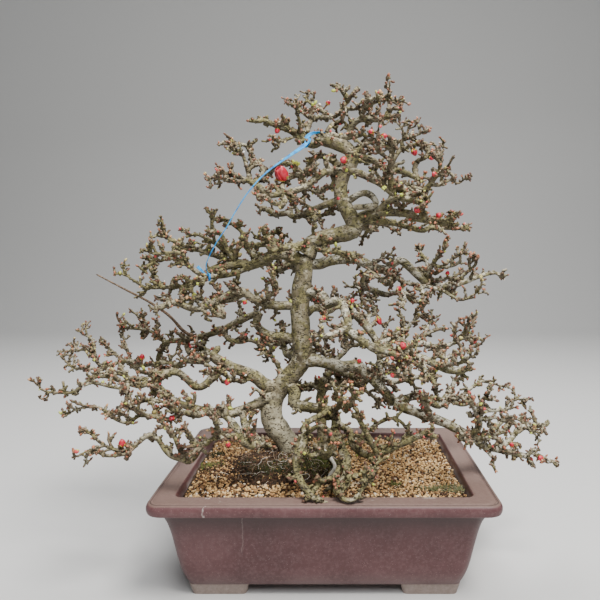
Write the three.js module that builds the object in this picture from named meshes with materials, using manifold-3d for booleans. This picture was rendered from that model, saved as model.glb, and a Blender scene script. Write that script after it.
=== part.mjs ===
// Chojubai flowering quince bonsai, in bud, in its unglazed rectangular pot.
// Millimetres, +Z up. The model is laid out round the middle of the pot and then moved,
// so that the origin is the bottom centre of the whole tree and pot.
import * as THREE from 'three';
import { mergeVertices } from 'three/addons/utils/BufferGeometryUtils.js';
import Module from 'manifold-3d';

const wasm = await Module();
wasm.setup();

// Pot
const potWide = 367;
const potDeep = 274;
const potHigh = 115;
const footHigh = 13;
const bodyTuck = 34.5; // how far the foot of the wall stands in from the lip
const lipHigh = 12;
const rimWide = 26;
const cornerRound = 15;
const floorThick = 9;
const wallThick = 11;
const drainHole = 11; // radius
const drainAcross = 82; // drain hole from the middle
const wireHole = 2.5; // radius of the tie wire holes
const footWide = 66;
const footDeep = 46;

// Soil
const soilHigh = 104.5;
const moundHigh = 19.5;
const moundWide = 52; // spread of the mound
const moundAt = new THREE.Vector2(-42, 8);
const grainHigh = 1.6;
const soilColumns = 30;
const soilRows = 22;

// Fits
const seat = 0.3; // gap between pieces that touch
const screenWide = 38;
const screenThick = 1.4;
const screenHoles = 3;

// Spurs along the twigs
const spurStep = 12;
const spurShort = 3.5;
const spurLong = 12;
const drawnSpur = 43; // every how many spurs one is built

// Routes of the limbs as the tree grew: radius at the root, radius at the tip, then x, y, z
// points. Every limb but the first and the ones out of the ground starts inside another limb.
const routes = {
  trunk: [12.5, 9.5, [[-38, 6, 110], [-43, 6, 129], [-63, 5, 158], [-67, 4, 175], [-65, 4, 189],
    [-55, 4, 205], [-33, 3, 231], [-28, 3, 248], [-31, 1, 306], [-23, 0, 367]]],
  trunk_top: [9.5, 6.5, [[-23, 0, 367], [-15, -1, 380], [-1, -3, 386], [31, -5, 394], [34, -5, 403],
    [19, -6, 431], [18, -6, 447], [21, -5, 461], [29, -4, 471], [31, -4, 483], [23, -3, 492],
    [-4, 0, 502]]],
  stub_top: [7.5, 7, [[31, -5, 394], [43, 10, 400]]],
  stem_back: [6.5, 5.5, [[-4, 14, 117], [-6, 23, 178], [-5, 26, 199], [-1, 28, 213]]],
  left_one: [8.5, 5.5, [[-48, 4, 212], [-62, 2, 205], [-75, 1, 209], [-87, 0, 219], [-117, -2, 232],
    [-138, -4, 245]]],
  left_one_stub: [4, 3.6, [[-137, -4, 244], [-129, 4, 256]]],
  left_one_a: [5.2, 3.8, [[-122, -2, 235], [-134, -7, 221], [-152, -14, 209], [-173, -22, 228],
    [-192, -28, 228]]],
  left_one_b: [4.6, 2.6, [[-138, -4, 245], [-149, 3, 237], [-175, 16, 234], [-200, 30, 219]]],
  left_one_c: [4.2, 3, [[-138, -4, 245], [-150, 9, 245], [-164, 24, 239], [-174, 37, 242],
    [-178, 48, 248]]],
  left_front_thin: [2.6, 1.8, [[-91, 0, 221], [-103, -10, 215], [-136, -60, 247]]],
  left_two: [6.8, 3.2, [[-56, 4, 203], [-65, -1, 195], [-101, -13, 181], [-124, -20, 179],
    [-167, -34, 193], [-191, -44, 211]]],
  left_two_b: [4.4, 4, [[-100, -12, 182], [-92, -39, 168], [-69, -74, 160]]],
  left_two_c: [4.2, 3.4, [[-69, -74, 160], [-82, -82, 160], [-91, -86, 170], [-96, -84, 181],
    [-114, -70, 193]]],
  left_two_d: [4.2, 2.6, [[-140, -26, 185], [-147, -41, 183], [-163, -84, 200]]],
  left_low_a: [3.8, 2.4, [[-92, -86, 171], [-111, -95, 174], [-129, -104, 170]]],
  left_low_b: [3.4, 2.4, [[-124, -102, 171], [-132, -105, 167], [-142, -112, 184]]],
  left_low_c: [3.2, 2, [[-129, -104, 170], [-138, -102, 154], [-148, -101, 151], [-162, -97, 181],
    [-171, -96, 188]]],
  left_low_d: [3, 1.4, [[-148, -101, 151], [-164, -102, 157], [-181, -104, 179], [-201, -105, 166],
    [-214, -106, 163], [-231, -107, 169], [-245, -108, 183]]],
  left_low_e: [2.2, 1.2, [[-200, -105, 167], [-208, -108, 160], [-229, -113, 160], [-236, -116, 169],
    [-243, -118, 165]]],
  left_low_f: [3, 1.6, [[-110, -94, 174], [-112, -128, 203]]],
  far_a: [3.4, 1.2, [[-182, -25, 228], [-217, -28, 214], [-262, -31, 226], [-291, -33, 209],
    [-301, -34, 207], [-321, -35, 208], [-330, -36, 213]]],
  far_b: [3.4, 1.3, [[-175, -37, 198], [-204, -26, 220], [-230, -19, 219], [-243, -15, 225],
    [-270, -8, 225], [-280, -5, 230], [-305, 1, 229], [-320, 6, 239]]],
  far_c: [2.8, 1.2, [[-186, 22, 229], [-202, 25, 231], [-238, 31, 226], [-251, 34, 232], [-287, 40, 224],
    [-302, 44, 240], [-311, 45, 244], [-350, 52, 240]]],
  far_d: [2.2, 1.1, [[-296, 43, 235], [-308, 64, 254], [-327, 78, 260]]],
  far_e: [2.6, 1.3, [[-199, 30, 220], [-236, 41, 216], [-293, 62, 249]]],
  far_f: [2.2, 1.2, [[-250, 46, 223], [-275, 84, 260]]],
  far_g: [2.6, 1.2, [[-163, -84, 200], [-178, -81, 208], [-193, -79, 210], [-205, -78, 206],
    [-217, -76, 207], [-234, -73, 194], [-252, -70, 200], [-274, -67, 197], [-283, -66, 192]]],
  far_h: [2.8, 1.6, [[-159, -74, 196], [-169, -78, 188], [-196, -88, 196], [-210, -94, 189],
    [-224, -100, 196]]],
  far_i: [2.2, 1.6, [[-217, -76, 207], [-218, -67, 225], [-227, -62, 219], [-263, -48, 222]]],
  far_j: [2, 1.4, [[-190, -86, 192], [-198, -116, 215]]],
  front_root: [6.6, 5, [[-48, 3, 212], [-37, -5, 200], [-35, -14, 188], [5, -41, 188], [12, -47, 183],
    [12, -58, 170]]],
  front_a: [4.6, 3, [[12, -58, 170], [10, -73, 158], [2, -87, 150], [-5, -95, 157], [-13, -104, 156]]],
  front_b: [4.4, 2.4, [[12, -58, 170], [18, -72, 156], [18, -85, 143], [11, -98, 132], [-3, -109, 130],
    [-19, -130, 119]]],
  front_c: [3, 1.8, [[18, -85, 143], [26, -100, 135], [23, -112, 128], [13, -126, 124]]],
  front_d: [4.2, 3.2, [[12, -52, 176], [27, -61, 170], [30, -67, 159], [38, -73, 151], [48, -78, 148],
    [58, -83, 150], [105, -110, 183]]],
  front_e: [3.4, 2.2, [[58, -83, 150], [35, -96, 196]]],
  front_f: [3.8, 2.4, [[6, -42, 188], [-19, -68, 182], [-23, -80, 175], [-22, -90, 168]]],
  front_g: [2.8, 1.8, [[48, -78, 148], [53, -97, 143], [43, -115, 141], [41, -128, 137]]],
  front_h: [3.4, 2.2, [[8, -43, 186], [19, -67, 202], [23, -81, 199], [31, -112, 223]]],
  front_i: [2.8, 2, [[-23, -84, 172], [-7, -96, 186], [4, -104, 184], [9, -112, 176]]],
  front_j: [2.6, 1.6, [[38, -73, 151], [41, -72, 168], [65, -71, 185], [80, -71, 186], [92, -70, 174]]],
  front_k: [2.4, 1.6, [[18, -66, 201], [11, -124, 232]]],
  dead_root: [2.6, 1.9, [[-4, 15, 123], [10, -26, 114], [1, -58, 110]]],
  right_low: [7.6, 5.4, [[-32, 3, 235], [-15, 0, 239], [17, -7, 233], [35, -11, 234], [46, -13, 228],
    [75, -22, 200], [81, -24, 191]]],
  right_low_out: [5.6, 4.4, [[81, -24, 191], [137, -41, 173], [173, -52, 157]]],
  right_low_up: [4.6, 4, [[81, -24, 191], [92, -19, 196], [115, -9, 196], [133, 0, 184], [141, 3, 183],
    [151, 10, 195]]],
  pad_a: [3.2, 1.8, [[151, 10, 195], [166, 26, 216]]],
  pad_b: [3, 2, [[147, 6, 188], [136, 2, 193], [131, -8, 216]]],
  pad_c: [2.8, 1.1, [[150, 9, 193], [164, 14, 189], [192, 27, 205], [203, 32, 205], [230, 42, 196]]],
  pad_d: [3.2, 2.2, [[148, 7, 190], [167, 15, 180], [180, 20, 180]]],
  pad_e: [4.2, 3, [[173, -52, 157], [182, -48, 148], [237, -30, 130]]],
  pad_f: [2, 1.2, [[237, -30, 130], [245, -33, 135], [263, -40, 127]]],
  pad_g: [3.6, 1.8, [[200, -42, 143], [221, -26, 151], [232, -14, 159], [256, 1, 160], [273, 11, 155],
    [279, 16, 159]]],
  pad_h: [3.4, 1.8, [[166, -50, 162], [173, -64, 179], [155, -88, 212]]],
  pad_i: [3, 2, [[170, -68, 185], [174, -69, 195], [171, -69, 203], [177, -70, 213]]],
  pad_j: [2.6, 1.2, [[174, -69, 195], [201, -74, 199], [207, -77, 210], [214, -78, 210]]],
  pad_k: [3.4, 2.2, [[173, -52, 157], [200, -31, 156], [219, -14, 164]]],
  pad_l: [3, 1.8, [[185, -42, 158], [215, -14, 169], [240, 4, 165]]],
  pad_m: [2.2, 1.6, [[170, -68, 185], [190, -62, 186], [197, -60, 182]]],
  pad_n: [2.6, 1.8, [[182, -48, 148], [189, -62, 138]]],
  pad_o: [2.6, 2, [[166, -50, 162], [155, -76, 164], [146, -96, 173]]],
  pad_p: [3.4, 2.4, [[123, -36, 177], [105, -98, 215]]],
  pad_q: [1.8, 1.2, [[244, -7, 158], [260, 20, 144], [275, 40, 137]]],
  mid_right: [6, 4.4, [[-29, 1, 317], [-14, -7, 322], [-2, -14, 318], [2, -19, 309], [11, -25, 313],
    [19, -29, 310], [26, -41, 292], [24, -46, 283]]],
  mid_right_out: [4.6, 3.8, [[24, -46, 283], [55, -54, 262], [68, -57, 260], [91, -63, 250],
    [105, -66, 254], [135, -74, 242], [153, -78, 243]]],
  mid_a: [4.2, 3.6, [[19, -30, 309], [36, -27, 296], [60, -23, 266], [64, -20, 241]]],
  mid_b: [4.2, 2, [[61, -22, 260], [83, -19, 268], [102, -16, 259], [113, -14, 261], [140, -11, 257],
    [169, -6, 269]]],
  mid_c: [2, 1.1, [[166, -7, 268], [190, 10, 262]]],
  mid_d: [2.8, 1.8, [[157, -8, 265], [165, -19, 277], [166, -26, 289]]],
  mid_e: [2.6, 1.4, [[113, -14, 261], [131, 32, 283]]],
  mid_f: [2.6, 1.2, [[92, -17, 264], [92, -2, 272], [121, 43, 290], [129, 52, 288]]],
  mid_g: [2.6, 1.4, [[117, -69, 251], [124, -64, 256], [136, -56, 252], [157, -44, 258]]],
  mid_h: [2.6, 1.4, [[127, -72, 247], [144, -95, 254], [151, -108, 263]]],
  mid_i: [3.2, 2.4, [[64, -20, 243], [66, -23, 229], [73, -25, 219], [86, -27, 219], [121, -34, 229]]],
  mid_j: [3, 2, [[91, -63, 250], [84, -75, 244], [72, -90, 245], [73, -99, 241], [81, -112, 243]]],
  mid_k: [3, 2, [[105, -66, 254], [105, -116, 246]]],
  mid_l: [2.8, 2, [[91, -63, 250], [93, -79, 262], [86, -95, 272], [79, -104, 272]]],
  mid_m: [3.6, 2.4, [[24, -46, 283], [1, -71, 279], [-6, -80, 282]]],
  mid_n: [3.4, 2.8, [[0, -3, 236], [14, 2, 241], [30, 10, 255], [42, 14, 255]]],
  mid_o: [2.2, 1.8, [[28, 9, 253], [23, 26, 263]]],
  mid_p: [2.6, 1.6, [[52, -24, 276], [51, -5, 292], [61, 6, 296], [53, 24, 310]]],
  mid_q: [2.4, 1.6, [[61, -22, 261], [70, -10, 269], [72, 2, 279]]],
  mid_r: [4.2, 3.6, [[-30, 2, 263], [-18, 18, 260], [-4, 46, 241]]],
  back_low_a: [4, 1.6, [[-1, 28, 213], [10, 35, 202], [38, 47, 198], [65, 60, 177], [79, 66, 172]]],
  back_low_b: [4, 2.4, [[-5, 26, 196], [-20, 42, 199], [-50, 73, 182], [-69, 92, 186]]],
  back_low_c: [4.4, 2.6, [[-1, 28, 213], [11, 36, 217], [43, 55, 205], [60, 66, 211], [73, 74, 201]]],
  left_mid: [5.4, 3, [[-29, 2, 257], [-41, 6, 265], [-71, 12, 269], [-85, 16, 281], [-83, 18, 293],
    [-97, 21, 289], [-149, 33, 265], [-207, 44, 254]]],
  left_mid_a: [3, 1, [[-167, 36, 263], [-181, 39, 269], [-214, 50, 297], [-303, 72, 340]]],
  left_mid_b: [3.2, 2.2, [[-206, 44, 254], [-214, 47, 242], [-217, 50, 228], [-211, 53, 216],
    [-220, 56, 206]]],
  left_mid_c: [2.6, 1.4, [[-206, 44, 254], [-231, 58, 267], [-265, 74, 268]]],
  left_mid_d: [2, 1.4, [[-230, 58, 267], [-242, 68, 256], [-252, 92, 282]]],
  left_mid_e: [3, 2, [[-131, 29, 272], [-120, 24, 260], [-105, 20, 258], [-94, 16, 261], [-81, 12, 256]]],
  left_mid_f: [2.8, 1.8, [[-53, 3, 210], [-58, 15, 226], [-80, 34, 251]]],
  left_mid_g: [2.8, 2, [[-149, 33, 265], [-154, 28, 253], [-149, 24, 245], [-158, 20, 248]]],
  left_high: [5.6, 3.2, [[-31, 1, 306], [-63, -2, 306], [-87, -4, 314], [-97, -5, 322], [-109, -6, 322],
    [-143, -9, 305], [-156, -10, 302], [-179, -12, 310], [-198, -14, 303]]],
  left_high_a: [3.4, 2.4, [[-96, -5, 321], [-112, -1, 313], [-142, 7, 308], [-156, 11, 314],
    [-194, 20, 307]]],
  left_high_b: [3, 2, [[-132, -8, 312], [-121, -19, 302], [-118, -27, 294], [-128, -40, 303]]],
  left_high_c: [2.8, 1.6, [[-76, -3, 309], [-58, -27, 325], [-55, -37, 334], [-58, -46, 340]]],
  left_high_d: [2.6, 1.8, [[-63, -2, 306], [-70, 11, 312], [-75, 34, 328]]],
  left_top: [7, 4, [[-25, 0, 357], [-52, 2, 367], [-65, 2, 365], [-91, 4, 353], [-105, 4, 355],
    [-136, 6, 348], [-166, 8, 328]]],
  left_top_a: [3.8, 2, [[-105, 4, 355], [-165, 28, 373], [-194, 40, 363]]],
  left_top_b: [3.4, 1.4, [[-91, 4, 353], [-106, -1, 345], [-137, -11, 340], [-149, -16, 345],
    [-166, -23, 359], [-179, -27, 362], [-192, -32, 359]]],
  left_top_c: [2.8, 1.2, [[-166, 8, 328], [-215, 15, 326], [-227, 17, 329], [-247, 20, 342]]],
  left_top_d: [2.6, 1.4, [[-165, 28, 373], [-203, 51, 387], [-210, 60, 401]]],
  left_top_e: [3, 1.5, [[-122, 11, 359], [-126, 12, 374], [-154, 15, 390], [-165, 16, 390]]],
  left_top_f: [3.2, 2, [[-105, 4, 355], [-116, -1, 370], [-123, -8, 391], [-132, -11, 395],
    [-132, -16, 410]]],
  left_top_g: [3.4, 2, [[-78, 3, 358], [-101, 17, 379], [-103, 23, 393], [-123, 34, 409]]],
  left_top_h: [2.4, 1.6, [[-158, -19, 352], [-166, -30, 368], [-190, -46, 368], [-194, -50, 371]]],
  left_top_i: [2.4, 1.6, [[-197, 12, 325], [-218, 29, 347], [-221, 36, 359]]],
  left_top_j: [4, 2.6, [[-52, 2, 367], [-59, -5, 376], [-67, -11, 379], [-87, -24, 377], [-93, -30, 384]]],
  left_top_k: [2.8, 1.8, [[-68, -11, 379], [-70, -44, 395]]],
  left_top_l: [3.8, 2.6, [[-39, 1, 361], [-68, 32, 387], [-65, 39, 394], [-57, 46, 392]]],
  shoulder_a: [4.4, 2.6, [[-9, -2, 383], [-60, -28, 371]]],
  shoulder_b: [4, 2.2, [[-17, -1, 377], [-4, -10, 372], [30, -40, 368]]],
  shoulder_c: [2, 1.4, [[-9, -2, 383], [-15, -8, 393], [-13, -14, 405]]],
  right_mid: [6.4, 4.4, [[-25, 0, 357], [-9, 3, 355], [5, 5, 359], [35, 11, 361], [61, 16, 350],
    [74, 18, 349], [86, 20, 357], [97, 22, 356], [130, 29, 328], [158, 34, 327]]],
  right_mid_out: [4.2, 1.8, [[158, 34, 327], [209, 48, 342], [223, 52, 340]]],
  right_mid_a: [2.4, 1.6, [[173, 38, 329], [172, 37, 339], [187, 35, 353], [185, 34, 359]]],
  right_mid_b: [2.8, 2, [[121, 28, 334], [129, 52, 355], [120, 72, 372]]],
  right_mid_c: [3, 2, [[125, 28, 332], [129, 19, 351], [143, 6, 374]]],
  right_mid_d: [2.2, 1.5, [[131, 17, 354], [142, 9, 351], [152, 2, 353], [159, -4, 358], [159, -10, 367]]],
  right_mid_e: [2.8, 1.8, [[122, 28, 333], [155, 12, 339]]],
  right_mid_f: [3, 1.3, [[74, 18, 349], [86, 16, 343], [95, 14, 333], [138, 8, 324], [163, 3, 312],
    [183, 0, 322]]],
  right_mid_g: [4, 2.8, [[59, 15, 351], [49, 22, 341], [47, 27, 328], [73, 39, 316], [89, 46, 317],
    [103, 52, 313], [111, 56, 306], [126, 62, 304]]],
  right_mid_h: [2.4, 1.8, [[54, 31, 323], [45, 57, 321], [38, 78, 324]]],
  right_mid_i: [2.6, 2, [[96, 14, 333], [92, 4, 324], [94, -9, 313], [89, -16, 309]]],
  right_mid_j: [2.6, 2, [[115, 11, 327], [116, -8, 319], [111, -22, 312]]],
  right_mid_k: [2.6, 1.4, [[62, 16, 350], [58, 14, 357], [74, 10, 363]]],
  right_mid_l: [2.6, 1.8, [[86, 16, 343], [72, -8, 335], [60, -28, 341]]],
  right_top: [6, 3, [[32, -5, 406], [59, -8, 416], [89, -12, 415], [101, -13, 413], [110, -14, 408],
    [144, -18, 402]]],
  right_top_low: [5, 2, [[34, -5, 402], [48, -1, 407], [78, 6, 405], [116, 16, 396], [128, 19, 399],
    [169, 28, 398]]],
  right_top_a: [2.4, 1.6, [[123, -16, 407], [129, -20, 410], [135, -24, 406], [145, -30, 410]]],
  right_top_b: [2.8, 1.8, [[110, -14, 408], [112, -40, 427]]],
  right_top_c: [4, 2.6, [[59, -8, 416], [76, -24, 430], [87, -32, 431], [104, -46, 425]]],
  right_top_d: [3, 2, [[87, -32, 431], [95, -28, 436], [105, -24, 434], [114, -20, 441]]],
  arch: [4.2, 3.6, [[21, -6, 425], [40, -11, 437], [51, -13, 437], [58, -15, 430], [56, -17, 423],
    [31, -22, 421]]],
  crown_right: [5, 3, [[22, -5, 462], [32, -8, 464], [56, -16, 453], [76, -23, 437], [82, -26, 429]]],
  crown_back: [4.8, 3.2, [[29, -4, 473], [42, 2, 480], [54, 7, 479], [76, 18, 468], [90, 24, 468],
    [113, 34, 460]]],
  crown_a: [3.4, 1.6, [[112, 34, 460], [110, 36, 473], [114, 38, 482], [124, 40, 487], [127, 42, 499],
    [121, 44, 505], [99, 48, 500]]],
  crown_b: [2, 1.4, [[124, 40, 487], [146, 60, 504]]],
  crown_c: [3.2, 1.6, [[77, 19, 468], [83, 16, 483], [92, 15, 494], [93, 13, 503], [115, 10, 511]]],
  crown_d: [1.8, 1, [[93, 13, 503], [91, 7, 514], [83, 2, 522]]],
  crown_e: [1.6, 1, [[93, 13, 503], [101, 24, 521]]],
  crown_f: [4, 2.2, [[67, -20, 444], [81, -23, 445], [101, -30, 436], [112, -33, 440], [124, -38, 454],
    [128, -41, 463], [127, -44, 473]]],
  crown_g: [2.4, 1, [[119, -36, 446], [129, -35, 445], [141, -33, 451], [150, -31, 447], [157, -30, 452]]],
  crown_h: [2.2, 1.4, [[124, -38, 454], [132, -62, 461]]],
  crown_i: [2, 1.4, [[111, -33, 440], [90, -62, 440]]],
  crown_j: [3.4, 2.4, [[76, -23, 437], [73, -37, 463], [75, -50, 485]]],
  crown_k: [2.6, 1.8, [[74, -48, 482], [62, -51, 488], [50, -54, 489], [40, -56, 485], [35, -58, 478]]],
  crown_l: [2.2, 1.6, [[73, -42, 472], [56, -59, 480], [59, -66, 486]]],
  crown_m: [2.4, 1.8, [[70, -21, 443], [54, -54, 459]]],
  crown_n: [1.6, 1.1, [[56, -52, 488], [58, -66, 504]]],
  crown_left: [4.4, 3.2, [[21, -5, 461], [7, -9, 465], [-5, -13, 460], [-28, -21, 442], [-67, -34, 432]]],
  crown_left_out: [4.2, 1.4, [[-62, -32, 433], [-84, -28, 449], [-111, -24, 459], [-123, -22, 460],
    [-131, -20, 453]]],
  crown_left_a: [2.6, 1.6, [[-90, -27, 451], [-102, -32, 449], [-117, -40, 452]]],
  crown_left_b: [2.6, 1.4, [[-85, -28, 449], [-96, -13, 483], [-107, -8, 488]]],
  crown_left_c: [3, 1.8, [[-81, -29, 447], [-72, -19, 460], [-75, -13, 471], [-86, -5, 480],
    [-89, 1, 490], [-100, 8, 497], [-116, 16, 499]]],
  crown_left_d: [3, 2, [[-47, -28, 436], [-48, -18, 450], [-25, 0, 464]]],
  crown_left_e: [3.2, 2.2, [[-47, -28, 436], [-46, -37, 425], [-57, -47, 424], [-65, -58, 430]]],
  crown_arm: [4.6, 3.2, [[20, -6, 428], [6, 1, 428], [-35, 21, 413], [-47, 27, 417], [-62, 33, 416],
    [-76, 40, 423]]],
  crown_arm_a: [2.2, 1.4, [[-31, 19, 415], [-44, 62, 433]]],
  crown_arm_b: [3, 2, [[-31, 19, 415], [-18, 16, 411], [-3, 14, 414], [5, 12, 421]]],
  crown_bridge: [4, 3, [[25, -4, 466], [-2, 14, 484], [-13, 21, 483], [-28, 37, 463], [-29, 44, 452]]],
  crown_bridge_a: [3.4, 2.2, [[-28, 37, 463], [-36, 43, 473], [-49, 50, 480], [-62, 57, 479],
    [-75, 64, 471]]],
  head: [4.6, 3, [[1, 0, 499], [6, -2, 505], [19, -4, 503], [44, -8, 506]]],
  head_a: [4.2, 2.8, [[8, -1, 496], [34, 10, 492], [45, 14, 496]]],
  head_left: [4.4, 2.6, [[-3, 0, 502], [-16, -3, 494], [-36, -10, 507], [-72, -20, 520]]],
  head_left_a: [3, 2, [[-19, -4, 496], [-23, 4, 509], [-45, 16, 516]]],
  head_left_b: [2, 1.2, [[-32, -9, 505], [-47, -23, 496], [-58, -38, 495]]],
  head_left_c: [2.4, 1.4, [[-32, -8, 504], [-29, -17, 516], [-33, -30, 530]]],
  head_b: [4, 2.4, [[29, -6, 505], [30, -9, 514], [36, -12, 520], [46, -15, 523], [57, -19, 520],
    [68, -23, 522], [71, -26, 530]]],
  head_c: [2.8, 2, [[41, -14, 522], [46, -31, 536], [54, -40, 539]]],
  head_d: [2.2, 1.2, [[45, -26, 532], [63, -42, 537], [76, -54, 531]]],
  head_e: [1.8, 1.3, [[63, -42, 537], [69, -52, 540], [68, -60, 544]]],
  head_top: [3, 2.2, [[-23, 4, 509], [-15, 9, 527], [8, 14, 530], [18, 17, 538], [39, 26, 569]]],
  head_top_a: [2.6, 2.4, [[27, 21, 551], [17, 12, 563]]],
  head_top_b: [2.6, 1.2, [[7, 14, 530], [-22, 37, 554], [-23, 44, 565]]],
  head_top_c: [1.6, 1, [[-22, 37, 554], [-33, 46, 553], [-43, 54, 559]]],
  head_top_d: [2.4, 1.6, [[21, 18, 542], [32, 4, 537], [44, -12, 537]]],
  head_top_e: [1.8, 1.4, [[-11, 10, 527], [-21, 21, 531], [-30, 32, 540]]],
  head_f: [2.4, 1.6, [[1, 0, 500], [2, 6, 513], [10, 13, 523], [20, 18, 526], [29, 24, 520]]],
  back_a: [6, 2.2, [[-33, 3, 231], [-40, 30, 240], [-52, 58, 236], [-60, 84, 246], [-78, 104, 240], [-92, 124, 250]]],
  back_b: [3, 1.5, [[-52, 58, 236], [-30, 74, 228], [-12, 90, 236], [2, 110, 230]]],
  back_c: [5, 2, [[-30, 2, 290], [-14, 24, 300], [4, 46, 294], [20, 66, 304], [44, 84, 298], [60, 102, 308]]],
  back_d: [2.8, 1.4, [[4, 46, 294], [-6, 66, 306], [-14, 84, 300], [-24, 100, 312]]],
  back_e: [5, 1.8, [[-26, 0, 345], [-44, 24, 352], [-62, 44, 346], [-80, 64, 354], [-104, 80, 348]]],
  back_f: [2.8, 1.4, [[-62, 44, 346], [-52, 64, 356], [-44, 84, 350], [-48, 102, 358]]],
  back_g: [4, 1.6, [[31, -5, 398], [44, 20, 402], [58, 42, 396], [66, 64, 406], [88, 80, 400]]],
  back_h: [3.4, 1.4, [[19, -6, 440], [4, 16, 448], [-8, 38, 442], [-22, 58, 450]]],
  back_i: [3, 1.4, [[30, -4, 478], [40, 20, 484], [52, 42, 478], [54, 60, 488]]],
  back_j: [4.4, 1.8, [[-5, 25, 195], [14, 48, 204], [34, 66, 198], [52, 88, 208], [80, 100, 202], [104, 114, 212]]],
  back_k: [2.4, 1.4, [[34, 66, 198], [28, 88, 192], [36, 108, 200], [28, 124, 194]]],
  root_crown: [8, 6.8, [[-40, 6, 114], [-22, 9, 108], [-4, 14, 116]]],
  root_left: [6, 2.6, [[-40, 6, 120], [-58, -2, 114], [-74, -12, 106]]],
  root_front: [5, 2.2, [[-39, 6, 118], [-36, -12, 113], [-28, -28, 106]]],
  root_back: [6, 2.6, [[-40, 7, 119], [-50, 26, 112], [-62, 40, 104]]],
};

// Limbs that carry no spurs
const bareLimbs = ['trunk', 'stub_top', 'stem_back', 'left_one_stub', 'dead_root', 'arch', 'root_crown',
  'root_left', 'root_front', 'root_back'];

// Flower buds: x, y, z of the middle, length and radius
const flowerBuds = [
  [[-46, -16, 452], [-50, -22, 459], 17, 7.2],
  [[-52, -14, 514], [-55, -18, 508], 7, 3],
  [[30, -4, 476], [21, -12, 476], 9, 4.2],
  [[56, -60, 498], [50, -62, 499], 6, 2.6],
  [[56, -58, 496], [64, -60, 495], 7, 2.8],
  [[106, 46, 503], [110, 43, 493], 9, 4],
  [[128, 43, 490], [131, 41, 486], 6.5, 3.2],
  [[124, -38, 455], [121, -44, 456], 8, 2.8],
  [[112, -24, 416], [105, -28, 418], 8, 4.2],
  [[16, -4, 428], [16, -11, 432], 7, 3.6],
  [[-4, 24, 540], [3, 21, 548], 6, 2.8],
  [[-113, -24, 224], [-115, -27, 218], 8, 3.4],
  [[-166, -77, 190], [-166, -83, 191], 8, 3.2],
  [[-232, 30, 226], [-231, 27, 238], 8, 3.4],
  [[-211, -106, 164], [-211, -109, 172], 9, 3.6],
  [[60, 5, 296], [64, 2, 287], 11, 3.6],
  [[82, -100, 272], [81, -105, 274], 9, 4],
  [[36, -11, 233], [40, -16, 241], 6, 2.8],
  [[252, -36, 131], [250, -40, 131], 7, 3.4],
  [[216, -37, 139], [216, -40, 147], 6, 2.6],
  [[-104, -91, 172], [-103, -95, 166], 6, 2.8],
  [[-91, -4, 317], [-96, -8, 310], 6, 2.6],
  [[73, -98, 242], [71, -102, 242], 5.5, 2.6],
  [[92, 4, 324], [88, 0, 326], 8, 3],
  [[148, 15, 338], [148, 12, 344], 6, 2.6],
  [[129, -20, 410], [130, -25, 412], 7, 3.2],
  [[2, -19, 309], [-2, -23, 293], 6, 2.6],
  [[27, -29, 305], [31, -33, 314], 6, 2.6],
];

const bark = new THREE.MeshStandardMaterial({ color: 0x8a8070, roughness: 0.85, metalness: 0 });
const petal = new THREE.MeshStandardMaterial({ color: 0xc8202a, roughness: 0.45, metalness: 0 });
const clay = new THREE.MeshStandardMaterial({ color: 0x5f4446, roughness: 0.7, metalness: 0 });
const grit = new THREE.MeshStandardMaterial({ color: 0xa88250, roughness: 0.95, metalness: 0 });
const screenPlastic = new THREE.MeshStandardMaterial({ color: 0x202224, roughness: 0.6, metalness: 0 });
const tapePlastic = new THREE.MeshStandardMaterial({ color: 0x2a7fc8, roughness: 0.4, metalness: 0 });

function solidOf(geometry) {
  const bare = geometry.clone();
  bare.deleteAttribute('normal');
  bare.deleteAttribute('uv');
  const merged = mergeVertices(bare, 1e-4);
  const vertProperties = new Float32Array(merged.attributes.position.array);
  const triVerts = new Uint32Array(merged.index.array);
  return new wasm.Manifold(new wasm.Mesh({ numProp: 3, vertProperties, triVerts }));
}

function geometryOf(solid) {
  const mesh = solid.getMesh();
  const geometry = new THREE.BufferGeometry();
  const at = new Float32Array(mesh.numVert * 3);
  for (let i = 0; i < mesh.numVert; i += 1) {
    for (let k = 0; k < 3; k += 1) at[3 * i + k] = mesh.vertProperties[mesh.numProp * i + k];
  }
  geometry.setAttribute('position', new THREE.BufferAttribute(at, 3));
  geometry.setIndex([...mesh.triVerts]);
  return geometry;
}

// A closed skin over rings of equal point counts, with a flat cap on both ends
function skin(rings) {
  const count = rings[0].length;
  const at = [];
  const faces = [];
  for (const ring of rings) for (const p of ring) at.push(p.x, p.y, p.z);
  for (let r = 0; r + 1 < rings.length; r += 1) {
    for (let i = 0; i < count; i += 1) {
      const j = (i + 1) % count;
      const a = r * count;
      const b = a + count;
      faces.push(a + i, a + j, b + j, a + i, b + j, b + i);
    }
  }
  const last = (rings.length - 1) * count;
  for (let i = 1; i + 1 < count; i += 1) {
    faces.push(0, i + 1, i);
    faces.push(last, last + i, last + i + 1);
  }
  const geometry = new THREE.BufferGeometry();
  geometry.setAttribute('position', new THREE.BufferAttribute(new Float32Array(at), 3));
  geometry.setIndex(faces);
  return geometry;
}

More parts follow.
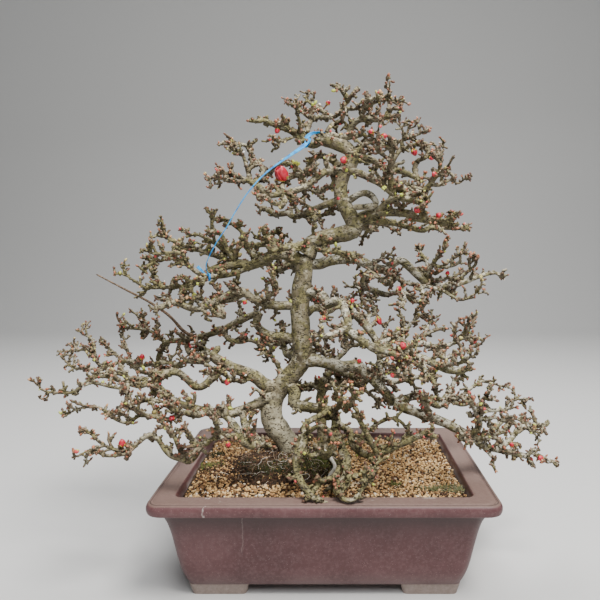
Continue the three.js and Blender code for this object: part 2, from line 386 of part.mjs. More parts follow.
// A tapering round-sectioned run through the points
function taperedRun(points, radii, sides) {
  const rings = [];
  const side = new THREE.Vector3();
  let across = null;
  for (let i = 0; i < points.length; i += 1) {
    const before = points[Math.max(i - 1, 0)];
    const after = points[Math.min(i + 1, points.length - 1)];
    const along = after.clone().sub(before).normalize();
    if (across === null) {
      across = Math.abs(along.z) < 0.8 ? new THREE.Vector3(0, 0, 1) : new THREE.Vector3(1, 0, 0);
    }
    across.addScaledVector(along, -across.dot(along)).normalize();
    side.crossVectors(along, across);
    const ring = [];
    for (let k = 0; k < sides; k += 1) {
      const turn = (2 * Math.PI * k) / sides;
      ring.push(points[i].clone()
        .addScaledVector(across, radii[i] * Math.cos(turn))
        .addScaledVector(side, radii[i] * Math.sin(turn)));
    }
    rings.push(ring);
  }
  return skin(rings);
}

function sidesFor(radius) {
  if (radius > 5.4) return 6;
  if (radius > 3.2) return 4;
  return 3;
}

// spare is added to the radius, measured at the flats
function limbSolid(route, spare) {
  const [rootRadius, tipRadius, list] = route;
  const points = list.map((p) => new THREE.Vector3(...p));
  const sides = sidesFor((rootRadius + tipRadius) / 2);
  const run = [0];
  for (let i = 1; i < points.length; i += 1) run.push(run[i - 1] + points[i].distanceTo(points[i - 1]));
  const whole = run[run.length - 1];
  const radii = run.map((s) => rootRadius + ((tipRadius - rootRadius) * s) / whole);
  if (spare > 0) {
    const ends = points.length - 1;
    const push = points[ends].clone().sub(points[ends - 1]).setLength(spare);
    points[ends].add(push);
  }
  return solidOf(taperedRun(points, radii.map((r) => r + spare / Math.cos(Math.PI / sides)), sides));
}

// Short flowering spurs, placed by a seeded rule along every limb
function spurSpots() {
  let seed = 20807;
  const draw = () => {
    seed = (seed * 16807) % 2147483647;
    return seed / 2147483647;
  };
  const spots = [];
  for (const [name, route] of Object.entries(routes)) {
    if (bareLimbs.includes(name)) continue;
    const points = route[2].map((p) => new THREE.Vector3(...p));
    let whole = 0;
    for (let i = 1; i < points.length; i += 1) whole += points[i].distanceTo(points[i - 1]);
    const count = Math.floor(whole / spurStep);
    for (let n = 0; n < count; n += 1) {
      let walk = ((n + 0.35 + 0.6 * draw()) / count) * whole;
      const turn = 2 * Math.PI * draw();
      const long = spurShort + (spurLong - spurShort) * draw() ** 2;
      const lean = 0.1 + 0.6 * draw();
      let i = 1;
      while (i + 1 < points.length && walk > points[i].distanceTo(points[i - 1])) {
        walk -= points[i].distanceTo(points[i - 1]);
        i += 1;
      }
      const along = points[i].clone().sub(points[i - 1]).normalize();
      const root = points[i - 1].clone().addScaledVector(along, walk);
      const flat = new THREE.Vector3(-along.y, along.x, 0);
      if (flat.lengthSq() < 0.01) flat.set(1, 0, 0);
      flat.normalize();
      const up = new THREE.Vector3().crossVectors(along, flat);
      const way = flat.multiplyScalar(Math.cos(turn)).addScaledVector(up, Math.sin(turn));
      way.addScaledVector(along, lean);
      way.z += 0.3;
      way.normalize();
      const share = (n + 0.5) / count;
      const thick = route[0] + (route[1] - route[0]) * share;
      spots.push({ root, way, long: long + thick });
    }
  }
  return spots;
}

function spurSolid(spot) {
  const shares = [0, 0.8, 1];
  const widths = [1.3, 1.7, 0.7];
  const points = shares.map((s) => spot.root.clone().addScaledVector(spot.way, s * spot.long));
  return solidOf(taperedRun(points, widths, 3));
}

function largest(solid) {
  return solid.decompose().reduce((a, b) => (b.volume() > a.volume() ? b : a));
}

function woodSolid(spare) {
  const pieces = Object.values(routes).map((route) => limbSolid(route, spare));
  if (spare === 0) {
    spurSpots().forEach((spot, n) => {
      if (n % drawnSpur === 0 && spot.root.z > soilHigh + moundHigh) pieces.push(spurSolid(spot));
    });
  }
  return wasm.Manifold.union(pieces);
}

// A rounded rectangle, the same number of points for every size
function roundedFrame(wide, deep, round, z) {
  const ring = [];
  const steps = 3;
  const corners = [[1, 1, 0], [-1, 1, 1], [-1, -1, 2], [1, -1, 3]];
  for (const [sx, sy, quarter] of corners) {
    for (let i = 0; i <= steps; i += 1) {
      const turn = (quarter + i / steps) * (Math.PI / 2);
      ring.push(new THREE.Vector3(
        sx * (wide / 2 - round) + round * Math.cos(turn),
        sy * (deep / 2 - round) + round * Math.sin(turn),
        z,
      ));
    }
  }
  return ring;
}

function block(wide, deep, high, x, y, z) {
  const geometry = new THREE.BoxGeometry(wide, deep, high);
  geometry.translate(x, y, z);
  return solidOf(geometry);
}

function rod(radius, high, x, y, z, sides) {
  const geometry = new THREE.CylinderGeometry(radius, radius, high, sides);
  geometry.rotateX(Math.PI / 2);
  geometry.translate(x, y, z);
  return solidOf(geometry);
}

const potFloor = footHigh + floorThick;

// Inner wall of the pot at a height: it leans in towards the floor
function innerTuck(z) {
  const share = (potHigh - z) / (potHigh - potFloor);
  return rimWide + (bodyTuck + wallThick - rimWide) * share;
}

function potSolid() {
  const lipFoot = potHigh - lipHigh;
  const rings = [
    [bodyTuck + 1.5, footHigh, 11],
    [bodyTuck - 1, footHigh + 3, 13],
    [bodyTuck - 5.2, 27, 14],
    [bodyTuck - 8.6, 42, 14],
    [bodyTuck - 13.9, 72, 14],
    [bodyTuck - 17.5, 87, 14],
    [bodyTuck - 21.5, 97, 14],
    [8.5, lipFoot - 1.6, 14],
    [2.4, lipFoot - 0.4, cornerRound],
    [0.5, lipFoot + 2, cornerRound],
    [0, lipFoot + 5, cornerRound],
    [0.8, potHigh - 2.4, cornerRound],
    [2.4, potHigh - 0.6, cornerRound],
    [5.2, potHigh - 0.2, 14],
    [6, potHigh - 0.9, 14],
    [6.9, potHigh - 0.2, 14],
    [10, potHigh, 13],
    [rimWide - 2, potHigh, 10],
    [rimWide, potHigh - 1.6, 9],
    [innerTuck(potFloor), potFloor, 9],
  ].map(([tuck, z, round]) => roundedFrame(potWide - 2 * tuck, potDeep - 2 * tuck, round, z));
  let pot = solidOf(skin(rings));
  for (const sx of [-1, 1]) {
    pot = pot.subtract(rod(drainHole, 4 * floorThick, sx * drainAcross, 0, potFloor, 16));
    for (const sy of [-1, 1]) {
      pot = pot.subtract(rod(wireHole, 4 * floorThick, sx * 36, sy * 40, potFloor, 8));
    }
  }
  return pot;
}

// One foot, a tapered block: sx and sy say which corner it stands under
function footSolid(sx, sy) {
  const footX = potWide / 2 - bodyTuck - footWide / 2 - 1.5;
  const footY = potDeep / 2 - bodyTuck - footDeep / 2 - 1.5;
  const rings = [
    roundedFrame(footWide - 6, footDeep - 6, 5, 0),
    roundedFrame(footWide, footDeep, 6, footHigh - seat),
  ];
  return solidOf(skin(rings.map((ring) => ring.map((p) => p.add(new THREE.Vector3(sx * footX, sy * footY, 0))))));
}

// Height of the soil before its grain
function soilTop(x, y) {
  const dx = (x - moundAt.x) / moundWide;
  const dy = (y - moundAt.y) / moundWide;
  return soilHigh + moundHigh * Math.exp(-0.5 * (dx * dx + dy * dy));
}

function soilSolid(fatWood) {
  const wide = potWide - 2 * rimWide + 20;
  const deep = potDeep - 2 * rimWide + 20;
  const top = new THREE.BoxGeometry(wide, deep, 2, soilColumns, soilRows, 1);
  const at = top.attributes.position;
  let seed = 4127;
  const bumps = new Map();
  for (let i = 0; i < at.count; i += 1) {
    const x = at.getX(i);
    const y = at.getY(i);
    const key = `${Math.round(x)},${Math.round(y)}`;
    if (!bumps.has(key)) {
      seed = (seed * 16807) % 2147483647;
      bumps.set(key, (seed / 2147483647 - 0.5) * 2 * grainHigh);
    }
    at.setZ(i, at.getZ(i) > 0 ? soilTop(x, y) + bumps.get(key) : potFloor - 10);
  }
  const walls = [potHigh + moundHigh + 20, potFloor + seat].map((z) => {
    const tuck = innerTuck(z) + seat + 0.2;
    return roundedFrame(potWide - 2 * tuck, potDeep - 2 * tuck, 9, z);
  }).reverse();
  let soil = solidOf(top).intersect(solidOf(skin(walls)));
  for (const sx of [-1, 1]) {
    const high = screenThick + 2 * seat;
    const cell = screenWide + 2 * seat;
    soil = soil.subtract(block(cell, cell, high, sx * drainAcross, 0, potFloor + seat + high / 2 - 0.1));
  }
  return largest(soil.subtract(fatWood));
}

function screenSolid(x) {
  const z = potFloor + seat + screenThick / 2;
  let screen = block(screenWide, screenWide, screenThick, x, 0, z);
  const pitch = screenWide / screenHoles;
  const hole = pitch - 2.4;
  for (let i = 0; i < screenHoles; i += 1) {
    for (let j = 0; j < screenHoles; j += 1) {
      const dx = (i - (screenHoles - 1) / 2) * pitch;
      const dy = (j - (screenHoles - 1) / 2) * pitch;
      screen = screen.subtract(block(hole, hole, 3 * screenThick, x + dx, dy, z));
    }
  }
  return screen;
}

// A bud sits just off the end of a short stalk that stands out of its limb
function budFrame([from, middle, long]) {
  const root = new THREE.Vector3(...from);
  const centre = new THREE.Vector3(...middle);
  const way = centre.clone().sub(root).normalize();
  const foot = centre.clone().addScaledVector(way, -long / 2);
  return { root, centre, way, foot };
}

function stalkSolid(bud, spare) {
  const { root, way, foot } = budFrame(bud);
  const end = foot.clone().addScaledVector(way, 1 + spare);
  return solidOf(taperedRun([root, end], [2.2 + 2 * spare, 1.3 + 2 * spare], 3));
}

function budSolid(bud, fatWood) {
  const [, , long, radius] = bud;
  const { centre, way } = budFrame(bud);
  const ball = new THREE.SphereGeometry(1, 5, 4);
  ball.scale(radius, long / 2, radius);
  const turn = new THREE.Quaternion().setFromUnitVectors(new THREE.Vector3(0, 1, 0), way);
  ball.applyQuaternion(turn);
  ball.translate(centre.x, centre.y, centre.z);
  return largest(solidOf(ball).subtract(fatWood));
}

// Guy ribbon of blue tape: a band round the top limb, a run down to the left, a band there
const tapeThick = 0.9;
const tapeRoute = [
  [-21, -10, 498, 4.4], [-26, -34, 487, 4.2], [-63, -42, 460, 3.6], [-84, -48, 437, 2.4],
  [-100, -46, 414, 1.8], [-111, -44, 396, 1.8], [-123, -42, 379, 1.6], [-136, -32, 356, 1.6],
  [-137, -14, 342, 1.8],
];
const tapeBands = [
  { at: [-21, -4.5, 497], along: [-10, -3, 6], radius: 5.9, wide: 4.5 },
  { at: [-137, -11, 340], along: [-16, -5, 2], radius: 4.3, wide: 3.2 },
];

function tapeSolid(fatWood) {
  const rings = tapeRoute.map(([x, y, z, wide], i) => {
    const before = tapeRoute[Math.max(i - 1, 0)];
    const after = tapeRoute[Math.min(i + 1, tapeRoute.length - 1)];
    const along = new THREE.Vector3(after[0] - before[0], after[1] - before[1], after[2] - before[2]);
    along.normalize();
    const face = new THREE.Vector3(0, -1, 0).addScaledVector(along, along.y).normalize();
    const flat = new THREE.Vector3().crossVectors(along, face);
    return [[-1, -1], [1, -1], [1, 1], [-1, 1]].map(([a, b]) => new THREE.Vector3(x, y, z)
      .addScaledVector(flat, (a * wide) / 2).addScaledVector(face, (b * tapeThick) / 2));
  });
  const strip = solidOf(skin(rings));
  const pieces = [strip.volume() > 0 ? strip : solidOf(skin(rings.map((r) => r.slice().reverse())))];
  for (const { at, along, radius, wide } of tapeBands) {
    const way = new THREE.Vector3(...along).setLength(wide / 2);
    const middle = new THREE.Vector3(...at);
    const ends = [middle.clone().sub(way), middle.clone().add(way)];
    pieces.push(solidOf(taperedRun(ends, [radius, radius], 8)));
  }
  return largest(wasm.Manifold.union(pieces).subtract(fatWood));
}

const stalks = (spare) => flowerBuds.map((bud) => stalkSolid(bud, spare));
const wood = largest(wasm.Manifold.union([woodSolid(0), ...stalks(0)]));
const fatWood = wasm.Manifold.union([woodSolid(seat), ...stalks(seat)]);

const group = new THREE.Group();
function place(name, solid, material) {
  const mesh = new THREE.Mesh(geometryOf(solid), material);
  mesh.name = name;
  group.add(mesh);
}

place('pot', potSolid(), clay);
for (const [side, sx] of [['left', -1], ['right', 1]]) {
  for (const [end, sy] of [['front', -1], ['back', 1]]) place(`pot_foot_${end}_${side}`, footSolid(sx, sy), clay);
}
place('drain_screen_left', screenSolid(-drainAcross), screenPlastic);
place('drain_screen_right', screenSolid(drainAcross), screenPlastic);
place('soil', soilSolid(fatWood), grit);
place('tree_wood', wood, bark);
flowerBuds.forEach((bud, i) => {
  place(`flower_bud_${String(i + 1).padStart(2, '0')}`, budSolid(bud, fatWood), petal);
});
place('guy_ribbon', tapeSolid(fatWood), tapePlastic);

// Bring the bottom centre of the whole to the origin
const bounds = new THREE.Box3();
for (const mesh of group.children) {
  mesh.geometry.computeBoundingBox();
  bounds.union(mesh.geometry.boundingBox);
}
group.position.set(-(bounds.min.x + bounds.max.x) / 2, -(bounds.min.y + bounds.max.y) / 2, -bounds.min.z);

export default group;
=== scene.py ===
import math
import bmesh
import bpy
import numpy as np
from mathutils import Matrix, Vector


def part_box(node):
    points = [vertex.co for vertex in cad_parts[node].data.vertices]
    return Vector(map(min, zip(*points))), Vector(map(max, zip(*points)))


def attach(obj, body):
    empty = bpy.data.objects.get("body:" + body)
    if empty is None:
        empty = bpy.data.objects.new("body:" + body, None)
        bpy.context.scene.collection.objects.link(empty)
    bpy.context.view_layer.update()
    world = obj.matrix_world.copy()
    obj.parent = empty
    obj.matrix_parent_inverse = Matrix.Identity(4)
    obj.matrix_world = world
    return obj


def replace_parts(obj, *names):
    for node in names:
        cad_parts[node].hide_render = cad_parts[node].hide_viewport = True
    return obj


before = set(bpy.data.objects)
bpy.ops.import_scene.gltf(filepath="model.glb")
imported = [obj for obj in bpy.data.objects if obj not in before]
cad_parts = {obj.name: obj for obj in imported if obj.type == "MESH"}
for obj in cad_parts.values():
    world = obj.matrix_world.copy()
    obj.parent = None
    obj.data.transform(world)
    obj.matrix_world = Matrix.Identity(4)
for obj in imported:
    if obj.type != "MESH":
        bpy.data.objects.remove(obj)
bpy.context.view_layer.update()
mm = 0.001

# the point under the pot's middle, on the ground: every place below is measured from it, in mm
potLow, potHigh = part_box("pot")
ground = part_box("pot_foot_front_left")[0].z
potMiddle = np.array([(potLow.x + potHigh.x) / 2, (potLow.y + potHigh.y) / 2, ground])

# the camera stands a little right of the pot's middle and looks down by a few degrees
view = {"at": (10, -730, 376), "lookDown": 5, "lens": 36.6, "shiftX": -34 / 600}
studio = {
    "floorColour": (0.62, 0.62, 0.61), "worldColour": (0.80, 0.83, 0.88), "worldPower": 0.20,
    # the floor in m: its front edge, where it starts to rise, the curve's radius, its top, half its width
    "front": -3.2, "back": 1.9, "bend": 0.8, "high": 2.6, "halfWide": 4.0,
    # the point that the lights face, and each light: place in m, size in m, power in W, colour
    "aim": (0, 0, 0.28),
    "lights": [
        ((0.65, -0.85, 2.0), 0.8, 66, (1.0, 0.98, 0.95)),
        ((0.3, -1.4, 1.5), 0.9, 17, (0.98, 0.99, 1.0)),
        ((-0.1, 0.9, 2.0), 0.9, 36, (1.0, 1.0, 1.0)),
    ],
}


def place(points):  # mm round the pot to metres in the frame
    return np.asarray(points, float) * mm + potMiddle


def treeBox():  # the corners of the wood's box, in mm round the pot
    return [(np.array(corner) - potMiddle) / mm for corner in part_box("tree_wood")]


def makeCamera():
    camera = bpy.data.objects.new("camera", bpy.data.cameras.new("camera"))
    bpy.context.collection.objects.link(camera)
    camera.location = place(view["at"])
    camera.rotation_euler = (math.radians(90 - view["lookDown"]), 0, 0)
    camera.data.sensor_width = 36
    camera.data.lens = view["lens"]
    camera.data.shift_x = view["shiftX"]
    camera.data.clip_start = 0.01
    bpy.context.scene.camera = camera


class Wire:  # one output socket, so that sums on it read as sums
    def __init__(self, paint, socket):
        self.paint = paint
        self.socket = socket

    def sum(self, how, first, second):
        return self.paint.node("ShaderNodeMath", {"operation": how}, {0: first, 1: second})

    def __add__(self, other):
        return self.sum("ADD", self, other)

    def __radd__(self, other):
        return self.sum("ADD", other, self)

    def __sub__(self, other):
        return self.sum("SUBTRACT", self, other)

    def __rsub__(self, other):
        return self.sum("SUBTRACT", other, self)

    def __mul__(self, other):
        return self.sum("MULTIPLY", self, other)

    def __rmul__(self, other):
        return self.sum("MULTIPLY", other, self)

    def __pow__(self, other):
        return self.sum("POWER", self, other)

    def __abs__(self):
        return self.sum("ABSOLUTE", self, 0)

    def atLeast(self, low):
        return self.sum("MAXIMUM", self, low)

    def above(self, low, high):  # 0 below low, 1 above high, smooth between
        settings = {"interpolation_type": "SMOOTHSTEP"}
        return self.paint.node("ShaderNodeMapRange", settings, {0: self, 1: low, 2: high})


class Paint:  # one material's node tree
    def __init__(self, name):
        self.material = bpy.data.materials.new(name)
        self.material.use_nodes = True
        self.tree = self.material.node_tree
        self.shader = self.tree.nodes["Principled BSDF"]
        self.where = self.node("ShaderNodeTexCoord", {}, {}, "Object")

    def node(self, kind, settings, inputs, out=0):
        made = self.tree.nodes.new(kind)
        for key, value in settings.items():
            if key == "stops":
                ramp = made.color_ramp
                while len(ramp.elements) < len(value):
                    ramp.elements.new(0.5)
                for element, (spot, colour) in zip(ramp.elements, value):
                    element.position = spot
                    element.color = (*colour, 1)
            else:
                setattr(made, key, value)
        for key, value in inputs.items():
            self.feed(made.inputs[key], value)
        return Wire(self, made.outputs[out])

    def feed(self, socket, value):
        if isinstance(value, Wire):
            self.tree.links.new(value.socket, socket)
        elif isinstance(value, tuple) and len(value) == 3 and socket.type == "RGBA":
            socket.default_value = (*value, 1)
        else:
            socket.default_value = value

    def spot(self, stretch):  # where a pattern is read, closer together along the axes with more than 1
        if not stretch:
            return self.where
        return self.node("ShaderNodeMapping", {}, {"Vector": self.where, "Scale": stretch})

    def noise(self, scale, detail=4, rough=0.55, stretch=None):
        values = {"Vector": self.spot(stretch), "Scale": scale, "Detail": detail, "Roughness": rough}
        return self.node("ShaderNodeTexNoise", {}, values, "Fac")

    def cells(self, scale, stretch=None):  # how far the nearest of many scattered points is
        values = {"Vector": self.spot(stretch), "Scale": scale}
        return self.node("ShaderNodeTexVoronoi", {}, values, "Distance")

    def axis(self, vector, name):
        return self.node("ShaderNodeSeparateXYZ", {}, {0: vector}, name)

    def fromPot(self):  # x, y and z in mm round the pot
        inputs = {0: self.where, 1: tuple(potMiddle)}
        local = self.node("ShaderNodeVectorMath", {"operation": "SUBTRACT"}, inputs)
        return [self.axis(local, name) * 1000 for name in "XYZ"]

    def attribute(self, name):
        return self.node("ShaderNodeAttribute", {"attribute_name": name}, {}, "Fac")

    def mix(self, share, first, second):
        return self.node("ShaderNodeMix", {"data_type": "RGBA"}, {0: share, 6: first, 7: second}, 2)

    def ramp(self, share, stops):
        return self.node("ShaderNodeValToRGB", {"stops": stops}, {0: share})

    def upward(self):  # 1 where the surface faces the sky
        return self.axis(self.node("ShaderNodeNewGeometry", {}, {}, "Normal"), "Z")

    def finish(self, colour, roughness, height=None, depth=0.0, strength=1.0):
        self.feed(self.shader.inputs["Base Color"], colour)
        self.feed(self.shader.inputs["Roughness"], roughness)
        if height is not None:
            values = {"Height": height, "Distance": depth * mm, "Strength": strength}
            self.feed(self.shader.inputs["Normal"], self.node("ShaderNodeBump", {}, values, "Normal"))
        return self.material


def addMesh(name, shape, material, smooth=True):
    # a shape is points in mm round the pot, quads and triangles as whole arrays of vertex numbers, and
    # attributes with one number a point
    points, quads, triangles, attributes = shape
    mesh = bpy.data.meshes.new(name)
    mesh.vertices.add(len(points))
    mesh.vertices.foreach_set("co", place(points).astype(np.float32).ravel())
    loops = np.concatenate([np.ravel(quads), np.ravel(triangles)]).astype(np.int32)
    sizes = np.concatenate([np.full(len(quads), 4), np.full(len(triangles), 3)]).astype(np.int32)
    mesh.loops.add(len(loops))
    mesh.loops.foreach_set("vertex_index", loops)
    mesh.polygons.add(len(sizes))
    starts = np.concatenate([[0], np.cumsum(sizes)[:-1]]).astype(np.int32)
    mesh.polygons.foreach_set("loop_start", starts)
    mesh.update(calc_edges=True)
    mesh.validate()
    mesh.polygons.foreach_set("use_smooth", np.full(len(mesh.polygons), smooth))
    for key, values in attributes.items():
        mesh.attributes.new(key, "FLOAT", "POINT").data.foreach_set("value", np.asarray(values, np.float32))
    mesh.materials.append(material)
    piece = bpy.data.objects.new(name, mesh)
    bpy.context.collection.objects.link(piece)
    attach(piece, "root")
    return piece


def unit(vectors):
    return vectors / np.maximum(np.linalg.norm(vectors, axis=-1, keepdims=True), 1e-9)


def bundle(paths, radii, sides, lumps=None):
    # many tubes at once, paths as (tube, ring, xyz): each ring is its middle plus the radius times
    # cos(turn) of one cross direction and sin(turn) of the other, both carried along the path
    tubes, rings, _ = paths.shape
    along = unit(np.gradient(paths, axis=1))
    across = np.zeros_like(paths)
    start = np.where(np.abs(along[:, 0, 2:]) < 0.8, [[0.0, 0.0, 1.0]], [[1.0, 0.0, 0.0]])
    for r in range(rings):
        start = unit(start - (start * along[:, r]).sum(1, keepdims=True) * along[:, r])
        across[:, r] = start
    side = np.cross(along, across)
    turn = np.linspace(0, 2 * np.pi, sides, endpoint=False)
    grid = radii[:, :, None] * (np.ones(sides) if lumps is None else lumps)
    points = (paths[:, :, None] + grid[..., None] * (
        np.cos(turn)[:, None] * across[:, :, None] + np.sin(turn)[:, None] * side[:, :, None]))
    ends = np.concatenate([paths[:, 0], paths[:, -1]])
    number = np.arange(tubes * rings * sides).reshape(tubes, rings, sides)
    around = np.roll(number, -1, axis=2)
    quads = np.stack([number[:, :-1], around[:, :-1], around[:, 1:], number[:, 1:]], -1).reshape(-1, 4)
    root = (number.size + np.arange(tubes))[:, None] + np.zeros((1, sides), int)
    tip = root + tubes
    caps = [np.stack([root, around[:, 0], number[:, 0]], -1),
            np.stack([tip, number[:, -1], around[:, -1]], -1)]
    return np.concatenate([points.reshape(-1, 3), ends]), quads, np.concatenate(caps).reshape(-1, 3)


def perPoint(values, sides):  # one number a ring, spread to the points that bundle makes
    ringed = np.repeat(values[:, :, None], sides, axis=2).ravel()
    return np.concatenate([ringed, values[:, 0], values[:, -1]])


def gather(parts):  # several shapes as one
    shift = np.cumsum([0] + [len(p[0]) for p in parts])
    points = np.concatenate([p[0] for p in parts])
    quads = np.concatenate([p[1] + s for p, s in zip(parts, shift)])
    triangles = np.concatenate([p[2] + s for p, s in zip(parts, shift)])
    names = parts[0][3].keys()
    return points, quads, triangles, {n: np.concatenate([p[3][n] for p in parts]) for n in names}


def ripple(points, size, seed):
    # a cheap soft noise from -1 to 1: the mean of sine waves that run in random directions
    draw = np.random.default_rng(seed)
    ways = draw.normal(size=(7, 3)) / size
    return np.sin(points @ ways.T + draw.uniform(0, 6.28, 7)).mean(-1) * 1.7


def walk(points, step):
    # a smooth line through the points: Catmull-Rom, a cubic whose slope at each point is half the way
    # between its two neighbours, then cut into even steps
    p = np.asarray(points, float)
    p = np.concatenate([[2 * p[0] - p[1]], p, [2 * p[-1] - p[-2]]])
    t = np.linspace(0, 1, 8, endpoint=False)[None, :, None]
    a, b, c, d = p[:-3, None], p[1:-2, None], p[2:-1, None], p[3:, None]
    fine = 0.5 * (2 * b + (c - a) * t + (2 * a - 5 * b + 4 * c - d) * t**2 + (3 * b - a - 3 * c + d) * t**3)
    fine = np.concatenate([fine.reshape(-1, 3), p[-2:-1]])
    run = np.concatenate([[0], np.cumsum(np.linalg.norm(np.diff(fine, axis=0), axis=1))])
    steps = np.linspace(0, run[-1], max(4, int(run[-1] / step) + 1))
    return np.stack([np.interp(steps, run, fine[:, i]) for i in range(3)], 1), steps


